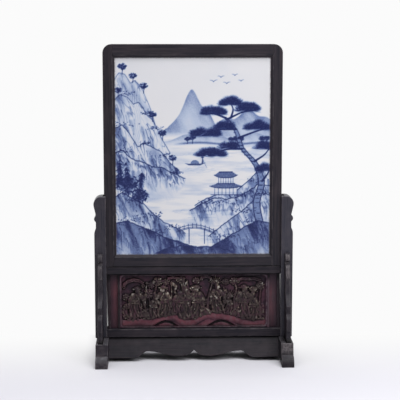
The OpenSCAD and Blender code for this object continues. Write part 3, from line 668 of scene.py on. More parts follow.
# the rolling ground, with two hollow hills along its foot
ground_points = tuple(zip(*(
    (-118, 63), (-100, 63.5), (-75, 67), (-50, 70), (-30, 75), (-15, 69), (0, 65), (15, 71), (25, 77),
    (45, 76), (62, 72), (75, 66), (100, 64), (118, 65))))
ground_line = np.interp(carved_x, *ground_points)
for shift in (-2, -1, 1, 2):
    ground_line = 0.6 * ground_line + 0.4 * np.interp(carved_x + 2.5 * shift, *ground_points)
below = ground_line - carved_z
fold = np.abs(np.sin(below / 4.6 + 0.5 * np.sin(carved_x / 9) + 0.3 * np.sin(carved_x / 23)))
rolling = 1.5 + 0.05 * below + 1.5 * fold
raise_form(np.where(below > 0, rolling * within(below / 1.2) ** 0.5, 0), 0.0, 1.0)
# the ground's red is painted lighter on its swells and darker in the folds between them, as painted light and
# shade
red = np.where(red > 0, 0.15 + 0.85 * fold ** 1.4, 0.0)
clefts = np.zeros_like(relief)
for hill_x, hill_w, hill_z in ((-46, 24, 62.5), (45, 27, 63)):
    arch = hill_z - (hill_z - bottom) * np.abs((carved_x - hill_x) / hill_w) ** 1.7
    depth = arch - carved_z
    cleft = (depth > 0) & (depth < cleft_w)
    relief[cleft] = 0.0
    # the cleft is kept for painted shade
    clefts[cleft] = 1.0
    lip = (depth > -lip_w) & (depth <= 0) & (below > 0)
    relief[lip] = np.maximum(relief, 2.7 + 0.35 * depth)[lip]
    inner = depth >= cleft_w
    swell = np.abs(np.sin((depth - cleft_w) / 3.4 + 0.5))
    relief[inner] = (1.0 + 1.6 * swell)[inner]
    # the hills' red is likewise painted lighter on their swells and darker between them
    red[inner] = (0.15 + 0.75 * swell)[inner]

# clouds along the top, banks of leaves, trees and sprays behind the figures
for arch, width in (([(-115, 120), (-108, 126), (-98, 129), (-89, 127), (-82, 122)], 4.2),
                    ([(-42, 131), (-34, 133), (-26, 131)], 3.6), ([(12, 132), (21, 134), (29, 131)], 3.4),
                    ([(72, 128), (80, 130), (90, 129), (99, 130), (110, 126)], 3.8)):
    cloud_swag(arch, width)
for bank in ((-91, 88, 14, 21, 40, 0.6), (-54, 93, 15, 22, 42, 0.7), (-8, 90, 16, 25, 46, 0.6),
             (42, 97, 12, 20, 34, 0.7), (89, 88, 15, 22, 42, 0.6), (-74, 74, 5, 7, 10, 0.5),
             (63, 78, 6, 7, 12, 0.4), (113, 78, 4, 12, 10, 0.4), (-113, 74, 4, 10, 10, 0.5)):
    thicket(*bank)
for trunk_line in ([(-73, 68), (-71, 86), (-74, 106)], [(-63, 72), (-66, 100), (-60, 124)],
                   [(-8, 70), (-6, 96), (-10, 122), (-20, 129)], [(22, 76), (24, 100), (30, 124)],
                   [(68, 70), (66, 96), (70, 116), (64, 130)], [(110, 66), (108, 92), (110, 118)]):
    limb(trunk_line, 4.4, 2.4, 1.2, 2.2, 0.2, 0.25)
for crown in ((-74, 107, 8.5, 10, 0.35), (-59, 127, 8, 11, 0.85), (-21, 130, 7, 9, 0.7),
              (-70, 121, 6, 8, 0.4), (66, 127, 7, 9, 0.5), (109, 119, 7, 9, 0.8), (-111, 101, 6, 8, 0.5),
              (-110, 86, 5, 8, 0.5), (22, 92, 6, 8, 0.4), (74, 106, 5.5, 8, 0.4), (-46, 126, 6, 8, 0.6),
              (4, 128, 6, 8, 0.5), (52, 126, 6, 8, 0.6)):
    leaf_ring(*crown)
for spray in ((35, 122, 14, 0.4, 2.7, 0.8), (58, 99, 14, 0.35, 2.8, 0.5), (-36, 74, 11, 0.5, 2.6, 0.45),
              (108, 68, 12, 0.8, 2.4, 0.5), (-104, 65, 10, 0.7, 2.5, 0.6), (16, 70, 11, 0.6, 2.4, 0.4),
              (73, 68, 10, 0.7, 2.5, 0.5)):
    leaf_spray(*spray)

# the figures, from left to right, first those that stand and then those that kneel and bow
for x0, z0, tall, turn, lean, gold, hat, held in (
        (-96, 68, 50, 1, 3, 0.5, "cap", "staff"), (-65, 68, 36, 1, 2, 0.55, "knot", "fan"),
        (-48, 70, 50, -1, -2, 0.75, "cap", "banner"), (-27, 76, 36, 1, 2, 0.3, "knot", "none"),
        (-14, 65, 57, 1, -3, 0.6, "crown", "fan"), (4, 68, 52, -1, 1, 0.9, "cap", "staff"),
        (39, 76, 47, 1, -2, 1.0, "crown", "none"), (56, 73, 29, -1, 2, 0.45, "knot", "none"),
        (81, 67, 53, 1, 1, 0.45, "cap", "fan"), (97, 64, 44, -1, -2, 0.6, "knot", "staff")):
    knobs = (staff_knob,) if held == "staff" else ()
    figure(x0, z0, tall, turn, lean, gold, robe_bars + hat_bars[hat] + held_bars[held],
           robe_bosses + hat_bosses[hat] + knobs)
for x0, z0, wide, turn, gold in ((-82, 66, 22, -1, 0.6), (19, 70, 20, -1, 0.6), (69, 69, 19, 1, 0.5)):
    dome(x0 - 0.12 * wide * turn, z0 + 0.28 * wide, 0.42 * wide, 0.3 * wide, 1.4, 2.6, 0.5 * gold, 0.3 * turn)
    figure(x0, z0, wide, turn, 0, gold, kneeling_bars, kneeling_bosses)

# stones and tufts along the crest of the ground, and the brightest figure's crossed sash
for stone_x in np.arange(-110, 112, 8.5):
    x0 = stone_x + 5 * chisel.random()
    z0 = np.interp(x0, *ground_points) - 1.5 * chisel.random()
    dome(x0, z0, 2.4 + 2.2 * chisel.random(), 1.6 + 1.3 * chisel.random(), 1.6, 1.8,
         0.2 + 0.4 * chisel.random(), 0.8 * chisel.random() - 0.4)
limb([(33, 105), (40, 97), (48, 106)], 3.2, 2.6, 3.8, 1.9, 1.0)
limb([(40, 97), (45, 89)], 2.8, 2.0, 3.6, 1.8, 1.0)


def eased(field, passes):
    """The field with each point drawn towards its neighbours, so many times over."""
    for _ in range(passes):
        wide = np.pad(field, 1, mode="edge")
        field = (wide[:-2, 1:-1] + wide[2:, 1:-1] + wide[1:-1, :-2] + wide[1:-1, 2:] + 2 * field) / 6
    return field


# chisel marks, where the carving is worn at its crests, and painted shade in its hollows, in the clefts and
# round the forms
on_forms = chip_depth * (cloudy(carved_x, carved_z, chip_w, 61) - 0.5)
on_ground = ground_chip_depth * cloudy(carved_x, carved_z, ground_chip_w, 71)
relief += np.where(relief > 0.2, on_forms, on_ground)
relief = np.clip(eased(relief, 1), 0.0, panel_ground - 0.25)
crest = within((eased(relief, 3) - eased(relief, 30)) * 1.2)
# painted shade in recesses and on the ground beside the forms
sunk = (eased(relief, 12) - relief) * 1.75
sheltered = np.clip(eased(relief, 60) - relief, 0, 2) * 0.36
hollow = within(sunk + sheltered + eased(clefts, 1))

# the border with its rounded corners, its rim pale as wear and as a painted highlight, its right end painted
# lighter where the light falls, and painted shadow along the rails
half_tall = (top - bottom) / 2
from_middle = np.abs(carved_z - (top + bottom) / 2)
inset_x = half_across - panel_border - border_corner - np.abs(carved_x)
inset_z = half_tall - panel_border - border_corner - from_middle
outside = np.hypot(np.minimum(inset_x, 0), np.minimum(inset_z, 0)) - border_corner
on_border = within(outside / 0.9 + 0.5)
to_edge = np.minimum(half_across - np.abs(carved_x), half_tall - from_middle)
border_top = panel_ground - 0.5 * within(1 - to_edge / 1.1) ** 2
border_top = border_top - 0.35 * within(1 - (outside - 0.4) / 0.9) ** 2
relief = relief * (1 - on_border) + border_top * on_border
gilt *= 1 - on_border
red *= 1 - on_border
crest = crest * (1 - on_border) + 0.25 * on_border * within(1 - to_edge / 1.2)
# the right end is painted lighter, as painted light from that side
lit_right_end = within((carved_x - half_across + 10) / 4)
in_groove = 0.8 * within(1 - np.abs(outside + 0.5) / 1.3)
hollow = np.maximum(hollow * (1 - on_border), in_groove) * (1 - 0.8 * lit_right_end)
rim_wear_highlight = on_border * within(1 - np.abs(outside - 1.3) / 1.3 + 0.6 * lit_right_end)
# painted shadow of the upper rail, and painted shade at the foot by the lower rail that also darkens the
# bottom
under_rail = np.clip(1.4 - (top - carved_z) / 2.0, 0, 0.9)
on_rail = np.clip(1.0 - (carved_z - bottom) / 2.4, 0, 0.6) + within(1 - (carved_z - bottom) / 13) * 0.3
hollow = within(np.maximum(hollow, under_rail) + on_rail)


def closed_field(name, x, y, z, back, material, values):
    """A closed slab whose front is a grid of points and whose back is flat, with a value per front point."""
    rows, columns = x.shape
    number = np.arange(rows * columns).reshape(rows, columns)
    corners = (number[:-1, :-1], number[:-1, 1:], number[1:, 1:], number[1:, :-1])
    front = np.stack(corners, axis=-1).reshape(-1, 4)
    loop = np.concatenate([number[0, :-1], number[:-1, -1], number[-1, :0:-1], number[:0:-1, 0]])
    behind = rows * columns + np.arange(len(loop))
    sides = np.stack([loop, behind, np.roll(behind, -1), np.roll(loop, -1)], axis=-1)
    points = np.stack([x, y, z], axis=-1).reshape(-1, 3)
    rear = points[loop].copy()
    rear[:, 1] = back
    mesh = bpy.data.meshes.new(name)
    mesh.from_pydata(np.concatenate([points, rear]).tolist(), [],
                     front.tolist() + sides.tolist() + [behind[::-1].tolist()])
    mesh.polygons.foreach_set("use_smooth", [True] * len(front) + [False] * (len(sides) + 1))
    for label, value in values.items():
        layer = mesh.attributes.new(label, "FLOAT", "POINT")
        layer.data.foreach_set("value", np.concatenate([value.reshape(-1), np.zeros(len(loop))]))
    mesh.materials.append(material)
    return linked(name, mesh)


lacquer_dark = (0.024, 0.0145, 0.0225, 1.0)
lacquer_wine = (0.076, 0.0310, 0.047, 1.0)
lacquer_red = (0.120, 0.040, 0.052, 1.0)
gold_dull = (0.039, 0.0290, 0.0285, 1.0)
gold_bright = (0.34, 0.25, 0.18, 1.0)
# bare gesso chips, which also stand in for painted glints
gesso_and_glint = (0.42, 0.40, 0.38, 1.0)
lacquer_worn = (0.105, 0.082, 0.095, 1.0)
# near black laid as painted shade in hollows, clefts and along the rails
painted_shade_tone = (0.0040, 0.0032, 0.0042, 1.0)
painted_shade_share = 0.92
flake_scale = 190.0
wash_scale = 34.0
relief_material, tree, spot = new_material("worn_relief_lacquer")
patchy = noise(tree, spot, flake_scale, 4.0)
broad = noise(tree, spot, wash_scale, 2.0)
gilded = attribute(tree, "gilt")
on_crest = times(tree, gilded, attribute(tree, "crest"))
clouded = maths(tree, "ADD", times(tree, broad, 0.65), times(tree, patchy, 0.35))
on_rim_highlight = times(tree, attribute(tree, "rim_wear_highlight"), spread(tree, patchy, 0.35, 0.65))
reddened = times(tree, attribute(tree, "red"), spread(tree, broad, 0.25, 0.6))
red_worn = times(tree, reddened, times(tree, spread(tree, patchy, 0.45, 0.65), 0.45))
gold_left = times(tree, spread(tree, gilded, 0.02, 0.3), spread(tree, patchy, 0.3, 0.5))
in_patches = times(tree, spread(tree, patchy, 0.42, 0.58), spread(tree, broad, 0.4, 0.62))
rubbed_gold = times(tree, on_crest, in_patches)
bare_gesso_glint = times(tree, on_crest, spread(tree, patchy, 0.55, 0.62))
# the hills' red carries painted light and shade, the rim a painted highlight, the gesso painted glints and
# the hollows painted shade
tone = layered(tree, lacquer_dark, (
    (spread(tree, clouded, 0.42, 0.58), lacquer_wine), (on_rim_highlight, lacquer_worn), (reddened, lacquer_red),
    (red_worn, lacquer_worn), (gold_left, gold_dull), (rubbed_gold, gold_bright), (bare_gesso_glint, gesso_and_glint),
    (times(tree, attribute(tree, "hollow"), painted_shade_share), painted_shade_tone)))
coated(tree, {"Base Color": tone, "Roughness": 0.3, "Metallic": times(tree, rubbed_gold, 0.4),
              "Specular IOR Level": 0.1})
carved_y = panel_face + (panel_ground - relief) / 1000
carved_values = {"gilt": gilt, "red": red, "crest": crest, "hollow": hollow, "rim_wear_highlight": rim_wear_highlight}
carving = closed_field("carved_relief", carved_x / 1000, carved_y, carved_z / 1000, panel_tongue - back_sink,
                       relief_material, carved_values)
shape = bmesh.new()
shape.from_mesh(carving.data)
for low, high in ((panel_low.z, bottom / 1000 + tongue_lap), (top / 1000 - tongue_lap, panel_high.z)):
    block = bmesh.ops.create_cube(shape, size=1.0)["verts"]
    bmesh.ops.scale(shape, vec=(panel_high.x - panel_low.x, 2 * panel_tongue, high - low), verts=block)
    bmesh.ops.translate(shape, vec=((panel_high.x + panel_low.x) / 2, 0.0, (high + low) / 2), verts=block)
shape.to_mesh(carving.data)
shape.free()
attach(carving, "stand")
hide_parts("carved_panel")


# End panels: two narrow wooden boards, tongued into the rails between the struts and the fillets.
# They are lacquered red and rubbed thin, with painted shadow towards the posts and under the upper rail, and
# darker towards the bottom.
end_ease = 0.0004
end_grain = 260.0
post_shade = (0.1275, 0.1355)
for source, dulled, shade, lower_dark in (("left_end_panel", 0.0, (0.119, 0.134), (0.092, 0.046)),
                                    ("right_end_panel", 0.6, (0.107, 0.131), (0.070, 0.048))):
    end_material, tree, spot = new_material(source + "_lacquer")
    place = parts_of(tree, spot)
    streaks = placed(tree, grain_group, {"Vector": spot, "Stretch": along_z, "Scale": end_grain})
    # painted shadow of the post beside each panel and of the upper rail above it, and darker towards the
    # bottom
    by_post = spread(tree, maths(tree, "ABSOLUTE", place["X"]), *post_shade)
    tone = layered(tree, lacquer_red, (
        (times(tree, streaks["Patch"], 0.5), lacquer_dark),
        (times(tree, streaks["Streak"], 0.45), lacquer_dark),
        (times(tree, streaks["Streak"], dulled), lacquer_worn), (times(tree, by_post, 0.7), lacquer_dark),
        (times(tree, spread(tree, place["Z"], *shade), 0.85), lacquer_dark),
        (times(tree, spread(tree, place["Z"], *lower_dark), 0.85), lacquer_dark)))
    coated(tree, {"Base Color": tone, "Roughness": 0.4, "Specular IOR Level": 0.15})
    finished(source, end_ease, end_material, "stand")


# Aprons: a sloping hardwood board in front and one behind, sawn to a shaped lower edge
# and housed between the feet under the lower rail.
apron_ease = 0.0008
apron_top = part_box("front_apron")[1].z
apron_grime_shade = 0.0048
# The aprons are made darker as painted shade, since they face up into the top light, and grime with a painted
# shadow of the lower rail lies along their tops.
apron_wood = dark_wood("apron_hardwood", along_x, wear=0.5, dust_and_sheen=0.1, shine=0.08, stain_and_shade=0.24,
                       joints=((apron_top, apron_grime_shade),))
for source in ("front_apron", "rear_apron"):
    finished(source, apron_ease, apron_wood, "stand")


# Screen frame: two hardwood stiles with rounded top corners, whose outer edges stand in the posts' grooves,
# and two rails tenoned between them.
frame_ease = 0.0009
seat_grime_shade = 0.0008
# The left stile is painted darker as painted shade on the side away from the light, and grime with a painted
# shadow line lies where the frame rail sits on the stand's rail.
for source, stain_and_shade in (("screen_left_stile", 0.14), ("screen_right_stile", 0.0)):
    stile_wood = dark_wood(source + "_hardwood", along_z, warmth=0.4, wear=0.5, dust_and_sheen=0.3, stain_and_shade=stain_and_shade)
    finished(source, frame_ease, stile_wood, "screen")
frame_rail_wood = dark_wood("frame_rail_hardwood", along_x, warmth=0.4, wear=0.3, dust_and_sheen=0.03,
                            joints=((seat, seat_grime_shade),))
for source in ("screen_top_rail", "screen_bottom_rail"):
    finished(source, frame_ease, frame_rail_wood, "screen")


# Porcelain plaque: a slab of white porcelain, painted in cobalt with a river landscape of cliffs, a pine,
# a waterside hall and a boat, then glazed and fired. It drops into the frame's rebate from behind.
# The painting is worked out in millimetres on a canvas of ink strengths.
plaque_low, plaque_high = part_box("porcelain_plaque")
plaque_pitch = 0.00098
glaze_wave = 0.00004
wave_across = 13
wave_up = 17
pooling_scale = 420.0
edge_grime = (0.17, 0.135, 0.12, 1.0)
edge_grime_w = 2.2
edge_grime_share = 0.75
cobalt_tones = ((0.0, (0.640, 0.635, 0.65, 1)), (0.22, (0.405, 0.465, 0.59, 1)),
                (0.48, (0.145, 0.20, 0.37, 1)), (0.78, (0.036, 0.050, 0.150, 1)),
                (1.0, (0.016, 0.022, 0.085, 1)))
canvas_cell = 0.33
picture_margin = 5.9
picture_w = (plaque_high.x - plaque_low.x) * 1000 - 2 * picture_margin
picture_h = (plaque_high.z - plaque_low.z) * 1000 - 2 * picture_margin
canvas_columns = int(picture_w / canvas_cell)
canvas_rows = int(picture_h / canvas_cell)
across = (np.arange(canvas_columns) + 0.5) * canvas_cell
upward = (np.arange(canvas_rows) + 0.5) * canvas_cell
ink = np.zeros((canvas_rows, canvas_columns))
hand = np.random.default_rng(41)


def cells(low, high, count):
    """The slice of the canvas from low to high millimetres, out of so many cells."""
    ends = (int(low / canvas_cell), int(high / canvas_cell) + 2)
    return slice(*(min(max(end, 0), count) for end in ends))


def window(left, right, low, high):
    """The part of the canvas between these edges, with its coordinates in millimetres."""
    columns = cells(left, right, canvas_columns)
    rows = cells(low, high, canvas_rows)
    return (rows, columns), across[None, columns], upward[rows, None]


def window_round(points, reach=0.0):
    """The part of the canvas round some points."""
    (left, low), (right, high) = points.min(axis=0), points.max(axis=0)
    return window(left - reach, right + reach, low - reach, high + reach)


def lay(part, cover):
    """Lays transparent cobalt over part of the canvas."""
    ink[part] = 1 - (1 - ink[part]) * (1 - within(cover))


def brush(points, thick, thin, strength, soft=0.4):
    """One brush stroke through points, going from thick to thin."""
    points = np.asarray(points, float)
    part, u, v = window_round(points, max(thick, thin))
    steps = len(points) - 1
    cover = 0.0
    for k in range(steps):
        (a, b), (c, d) = points[k], points[k + 1]
        run = c - a
        rise = d - b
        t = within(((u - a) * run + (v - b) * rise) / max(run * run + rise * rise, 1e-9))
        gap = np.hypot(u - a - t * run, v - b - t * rise)
        width = thick + (thin - thick) * (k + t) / steps
        cover = np.maximum(cover, within((width / 2 - gap) / soft + 0.5))
    lay(part, strength * cover)


def filled(points, strength):
    """A closed shape, wiped clear of what lies behind it and then filled with one tone."""
    points = np.asarray(points, float)
    part, u, v = window_round(points)
    inside = np.zeros(np.broadcast(u, v).shape, bool)
    for (a, b), (c, d) in zip(points, np.roll(points, -1, axis=0)):
        if b != d:
            inside ^= ((b > v) != (d > v)) & (u < a + (v - b) * (c - a) / (d - b))
    ink[part] = np.where(inside, 0.0, ink[part])
    lay(part, strength * inside)


def dab(u0, v0, half_w, half_h, strength):
    """One soft press of the brush."""
    reach = max(half_w, half_h)
    part, u, v = window(u0 - reach, u0 + reach, v0 - reach, v0 + reach)
    lay(part, strength * within(1.6 * (1 - np.hypot((u - u0) / half_w, (v - v0) / half_h))))


def far_range(peaks, foot, tone, fade, seed):
    """A distant range in pale wash that fades into mist at its foot. Peaks give place, height and breadth."""
    part, u, v = window(0, picture_w, foot - 5, picture_h)
    ridge = foot + sum(height * np.exp(-((u - place) / breadth) ** 2) for place, height, breadth in peaks)
    ridge = ridge + 5 * (cloudy(u, 0 * u, 14, seed) - 0.5)
    depth = ridge - v
    mist = within((v - foot + 5) / 9)
    folds = 0.65 + 0.7 * cloudy(u + 0.5 * v, v * 0.4, 9, seed + 5)
    ink[part] *= 1 - within(depth) * mist
    lay(part, tone * within(depth / 1.2) * mist * folds * (0.35 + 0.65 * np.exp(-depth / fade)))


def moss(places, count, strength):
    """Runs of small dots along the tops of rocks."""
    for u0, v0, reach in places:
        for _ in range(count):
            du, dv = hand.normal(0, 1, 2)
            half_w = 0.9 + hand.random() * 0.8
            half_h = 0.7 + hand.random() * 0.5
            dab(u0 + du * reach, v0 + dv * reach * 0.28, half_w, half_h, strength)


def dotted_tree(u0, v0, height, tone):
    """A far broad-leaved tree: a forked trunk under a crown of dabs."""
    brush([(u0, v0), (u0 + 0.5, v0 + height * 0.45), (u0 - 0.8, v0 + height * 0.8)], 1.2, 0.5, tone)
    brush([(u0 + 0.4, v0 + height * 0.35), (u0 + height * 0.22, v0 + height * 0.75)], 0.8, 0.4, tone)
    for _ in range(int(height * 4.5)):
        angle = hand.random() * 6.28
        reach = math.sqrt(hand.random()) * height * 0.42
        dab(u0 + reach * math.cos(angle), v0 + height * 0.78 + 0.75 * reach * math.sin(angle),
            1.3 + hand.random(), 0.9 + 0.5 * hand.random(), tone * (0.4 + 0.5 * hand.random()))


def curve(points, count):
    """A smooth line through a few chosen points."""
    points = np.asarray(points, float)
    knots = np.arange(len(points))
    fine_knots = np.linspace(0, len(points) - 1, count)
    bent = [np.interp(fine_knots, knots, points[:, k]) for k in (0, 1)]
    for _ in range(2):
        for line in bent:
            line[1:-1] = (line[:-2] + 2 * line[1:-1] + line[2:]) / 4
    return np.stack(bent, axis=1)


def crag(ridge, drop, tone, seed, ground=0.12):
    """A face of rock below a broken ridge: shaded planes that thin downwards, cracks and falling strokes."""
    ridge = np.asarray(sorted(ridge), float)
    left = ridge[0, 0]
    right = ridge[-1, 0]
    part, u, v = window(left, right, ridge[:, 1].min() - drop, ridge[:, 1].max() + 6)
    jag = 3.2 * (cloudy(across, 0 * across, 5, seed) - 0.5)
    line = np.interp(u, ridge[:, 0], ridge[:, 1]) + jag[None, part[1]]
    depth = line - v
    inside = within(depth / 0.7) * ((u >= left) & (u <= right))
    reach = drop * (0.75 + 0.5 * cloudy(u, 0 * u, 16, seed + 9))
    for end, run in ((left, u - left), (right, right - u)):
        if 2 < end < picture_w - 2:
            reach = reach * within(run / 22) ** 0.6
    kept = inside * within((reach - depth) / (0.3 * drop))
    ink[part] *= 1 - kept
    before = ink[part].copy()
    planes = within(2.6 * (cloudy(u + 0.45 * v, 0.3 * v, 11, seed + 3) - 0.4))
    lay(part, tone * (ground + 0.66 * planes) * (0.35 + 0.65 * np.exp(-depth / (0.5 * drop))))
    seams = np.abs(cloudy(u + 0.5 * v, 0.25 * v, 8, seed + 17, 2) - 0.5)
    lay(part, 0.85 * tone * within(1 - seams / 0.035) * np.exp(-depth / (0.7 * drop)))
    for step, thick, thin, strength, soft in ((6.5, 6.0, 2.0, 0.5, 3.0), (2.6, 1.3, 0.4, 0.85, 0.4)):
        for start in np.arange(left + 1, right - 1, step):
            start = start + hand.uniform(-0.4, 0.4) * step
            head = np.interp(start, ridge[:, 0], ridge[:, 1]) - hand.uniform(0, 0.5) * drop
            length = hand.uniform(0.12, 0.3) * drop
            bend = (0.2 + 0.12 * hand.normal()) * length
            middle = (start + bend, head - 0.5 * length)
            falling = curve([(start, head), middle, (start + 0.7 * bend, head - length)], 6)
            brush(falling, thick, thin, strength * tone * hand.uniform(0.35, 1), soft)
    ink[part] = before + (ink[part] - before) * kept
    shown = (across > left) & (across < right)
    edge = np.stack([across[shown], (np.interp(across, ridge[:, 0], ridge[:, 1]) + jag)[shown]], axis=1)
    brush(edge[::5], 1.4, 1.2, min(0.95 * tone, 0.95))


def needle_pad(u0, v0, half_w, count):
    """A level pad of needle fans, each over a dark wash, as an old pine carries at the end of a branch."""
    for _ in range(count):
        shift = hand.uniform(-1, 1)
        u = u0 + shift * half_w
        v = v0 + 9 * (1 - shift * shift) * hand.random() - 2
        size = 7 + 2.4 * hand.random()
        dab(u, v + size * 0.3, size * 1.2, size * 0.8, 0.4)
        for angle in np.linspace(-1.6, 1.6, 13):
            turn = angle + 0.12 * hand.normal()
            length = size * (0.85 + 0.4 * hand.random())
            tip = (u + length * math.sin(turn), v + 0.85 * length * math.cos(turn))
            brush([(u, v), tip], 1.0, 0.4, hand.uniform(0.45, 0.9))


def leaf_mass(u0, v0, half_w, half_h, count, tone):
    """A dense bush of pointed leaves, dark within and loose at its edge."""
    dab(u0, v0, 1.05 * half_w, 1.05 * half_h, 0.75 * tone)
    for _ in range(count):
        angle = hand.random() * 6.28
        reach = math.sqrt(hand.random())
        base = (u0 + half_w * reach * math.cos(angle), v0 + half_h * reach * math.sin(angle))
        turn = hand.uniform(-1.2, 1.2)
        length = hand.uniform(4, 8)
        tip = (base[0] + length * math.sin(turn), base[1] - length * math.cos(turn) * 0.8)
        brush([base, tip], 2.0, 0.5, tone * hand.uniform(0.5, 1))


def water_wash(low, high, strength, seed):
    """Level streaks of thin wash across the water."""
    part, u, v = window(0, picture_w, low, high)
    streaks = within(2.2 * (cloudy(0.16 * u, v, 5.5, seed) - 0.42))
    lay(part, strength * streaks * within((v - low) / 8) * within((high - v) / 8))


def hall_roof(u0, v0, half_w, height):
    """A tiled roof with lifted eaves: filled, then ruled with tile courses."""
    eave = [(u0 + half_w * s, v0 + 0.2 * height * abs(s) ** 3 * 2.4) for s in np.linspace(-1, 1, 15)]
    ridge = [(u0 + 0.55 * half_w * s, v0 + height) for s in (1, -1)]
    filled(eave + ridge, 0.62)
    for s in np.linspace(-0.92, 0.92, 15):
        tile_foot = (u0 + half_w * s, v0 + 0.48 * height * abs(s) ** 3)
        brush([(u0 + 0.55 * half_w * s, v0 + height), tile_foot], 0.5, 0.5, 0.4)
    brush(eave, 1.1, 1.1, 0.9)
    brush(ridge[::-1], 1.3, 1.3, 0.9)


def waterside_hall(u0, v0, half_w):
    """A two-storey hall on posts, with a railed terrace."""
    for low, share in ((v0, 1.0), (v0 + 17, 0.66)):
        storey = half_w * share
        wall = 0.88 * storey
        filled([(u0 - wall, low), (u0 + wall, low), (u0 + wall, low + 11), (u0 - wall, low + 11)], 0.06)
        for s in np.linspace(-0.86, 0.86, 7):
            brush([(u0 + s * storey, low), (u0 + s * storey, low + 11)], 0.8, 0.8, 0.75)
        for lift, thick, strength in ((3.4, 0.5, 0.6), (1.6, 0.4, 0.5)):
            brush([(u0 - 0.9 * storey, low + lift), (u0 + 0.9 * storey, low + lift)], thick, thick, strength)
    hall_roof(u0, v0 + 10.5, half_w * 1.25, 7.5)
    hall_roof(u0, v0 + 27.5, half_w * 0.9, 9.5)
    brush([(u0 - 1.15 * half_w, v0), (u0 + 1.15 * half_w, v0)], 1.1, 1.1, 0.8)


def ripples(left, right, low, high, count, tone):
    """Broken level lines on the water."""
    for _ in range(count):
        start = hand.uniform(left, right)
        level = hand.uniform(low, high)
        length = hand.uniform(6, 26)
        line = [(start + length * s, level + 0.5 * math.sin(9 * s + start)) for s in np.linspace(0, 1, 7)]
        brush(line, 0.5, 0.25, tone * (0.5 + 0.5 * hand.random()))


def ferry(u0, v0):
    """A small boat with a mat roof, and its boatman with a pole."""
    def at(*points):
        return [(u0 + du, v0 + dv) for du, dv in points]

    filled(at((-17, 3.4), (-10, 0), (9, 0), (18, 4.2), (8, 2.6), (-9, 2.4)), 0.8)
    filled(at(*((-7 * math.cos(a), 2.4 + 6.2 * math.sin(a)) for a in np.linspace(0, math.pi, 11))), 0.5)
    for s in np.linspace(-0.8, 0.8, 6):
        brush(at((7 * s, 2.4), (7 * s, 2.4 + 6 * math.sqrt(1 - s * s))), 0.5, 0.5, 0.5)
    filled(at((10.5, 3), (14, 3), (13, 10), (11.5, 10)), 0.75)
    dab(u0 + 12.2, v0 + 11.4, 1.5, 1.6, 0.6)
    filled(at((9, 11.8), (15.5, 11.8), (12.2, 14.2)), 0.8)
    brush(at((9.5, 17), (19, -4)), 0.6, 0.5, 0.8)


def plank_bridge(u0, v0, span):
    """A plank bridge with a slight arch, a handrail on posts and two piles in the water."""
    def at(s, lift):
        return u0 + span * s, v0 - 5 * s + 8 * math.sin(math.pi * s) + lift

    for lift in (0, 2.0, 5.4):
        brush([at(s, lift) for s in np.linspace(0, 1, 13)], 1.0, 1.0, 0.9)
    for s in np.linspace(0.06, 0.94, 9):
        brush([at(s, -0.3), at(s, 8)], 0.9, 0.9, 0.85)
    for s in (0.3, 0.7):
        brush([(u0 + span * s, v0 + 3.5), (u0 + span * s, v0 - 19.5)], 1.6, 1.2, 0.85)


def bamboo(u0, v0, height):
    """A bamboo stem with hanging groups of leaves."""
    lean = 0.1 * hand.normal()

    def stem(s):
        return u0 + lean * height * s + 2 * s * s, v0 + height * s

    brush([stem(s) for s in np.linspace(0, 1, 6)], 1.1, 0.5, 0.7)
    for _ in range(int(height * 0.5)):
        a, b = stem(hand.uniform(0.35, 1.05))
        for turn in (-0.9, -0.3, 0.35, 0.95):
            angle = turn + 0.25 * hand.normal()
            length = 5 + 3.5 * hand.random()
            out = length * math.sin(angle)
            down = length * math.cos(angle)
            leaf = [(a, b), (a + 0.5 * out, b - 0.35 * down), (a + out, b - down)]
            brush(leaf, 1.6, 0.3, 0.55 + 0.4 * hand.random())


# the sky with a thin wash, distant ranges fading into mist, and birds
part, u, v = window(0, picture_w, 0, picture_h)
lay(part, 0.06 * cloudy(u, v, 60, 3) * within((v - 200) / 90))
far_range([(124, 58, 15), (148, 34, 15), (104, 26, 22)], 196, 0.44, 34, 21)
far_range([(176, 30, 24), (214, 44, 20), (246, 30, 18)], 190, 0.52, 20, 33)
far_range([(120, 14, 30), (165, 11, 22), (225, 15, 30)], 183, 0.42, 9, 47)
for u0, v0, size in ((158, 280, 6), (170, 287, 5.2), (179, 277, 5.4), (192, 290, 4.8), (202, 281, 4.2)):
    for side, tip, bend in ((-1, 0.45, 0.4), (1, 0.5, 0.42)):
        wing = [(u0 + side * size, v0 + size * tip), (u0 + side * size * 0.4, v0 + size * bend), (u0, v0)]
        brush(curve(wing, 7), 0.5, 1.0, 0.8)

# the river, the far shore and the boat
water_wash(112, 184, 0.2, 71)
water_wash(20, 120, 0.26, 81)
ripples(85, 225, 120, 178, 40, 0.3)
part, u, v = window(0, picture_w, 168, 192)
lay(part, 0.55 * np.exp(-((v - 181 - 1.5 * np.sin(u / 17)) / 2.0) ** 2) * within((u - 92) / 20))
for u0 in (116, 124, 186, 194, 203, 236, 244):
    dotted_tree(u0, 181, 9 + 4 * hand.random(), 0.75)
ferry(128, 146)
ripples(100, 165, 136, 146, 14, 0.4)

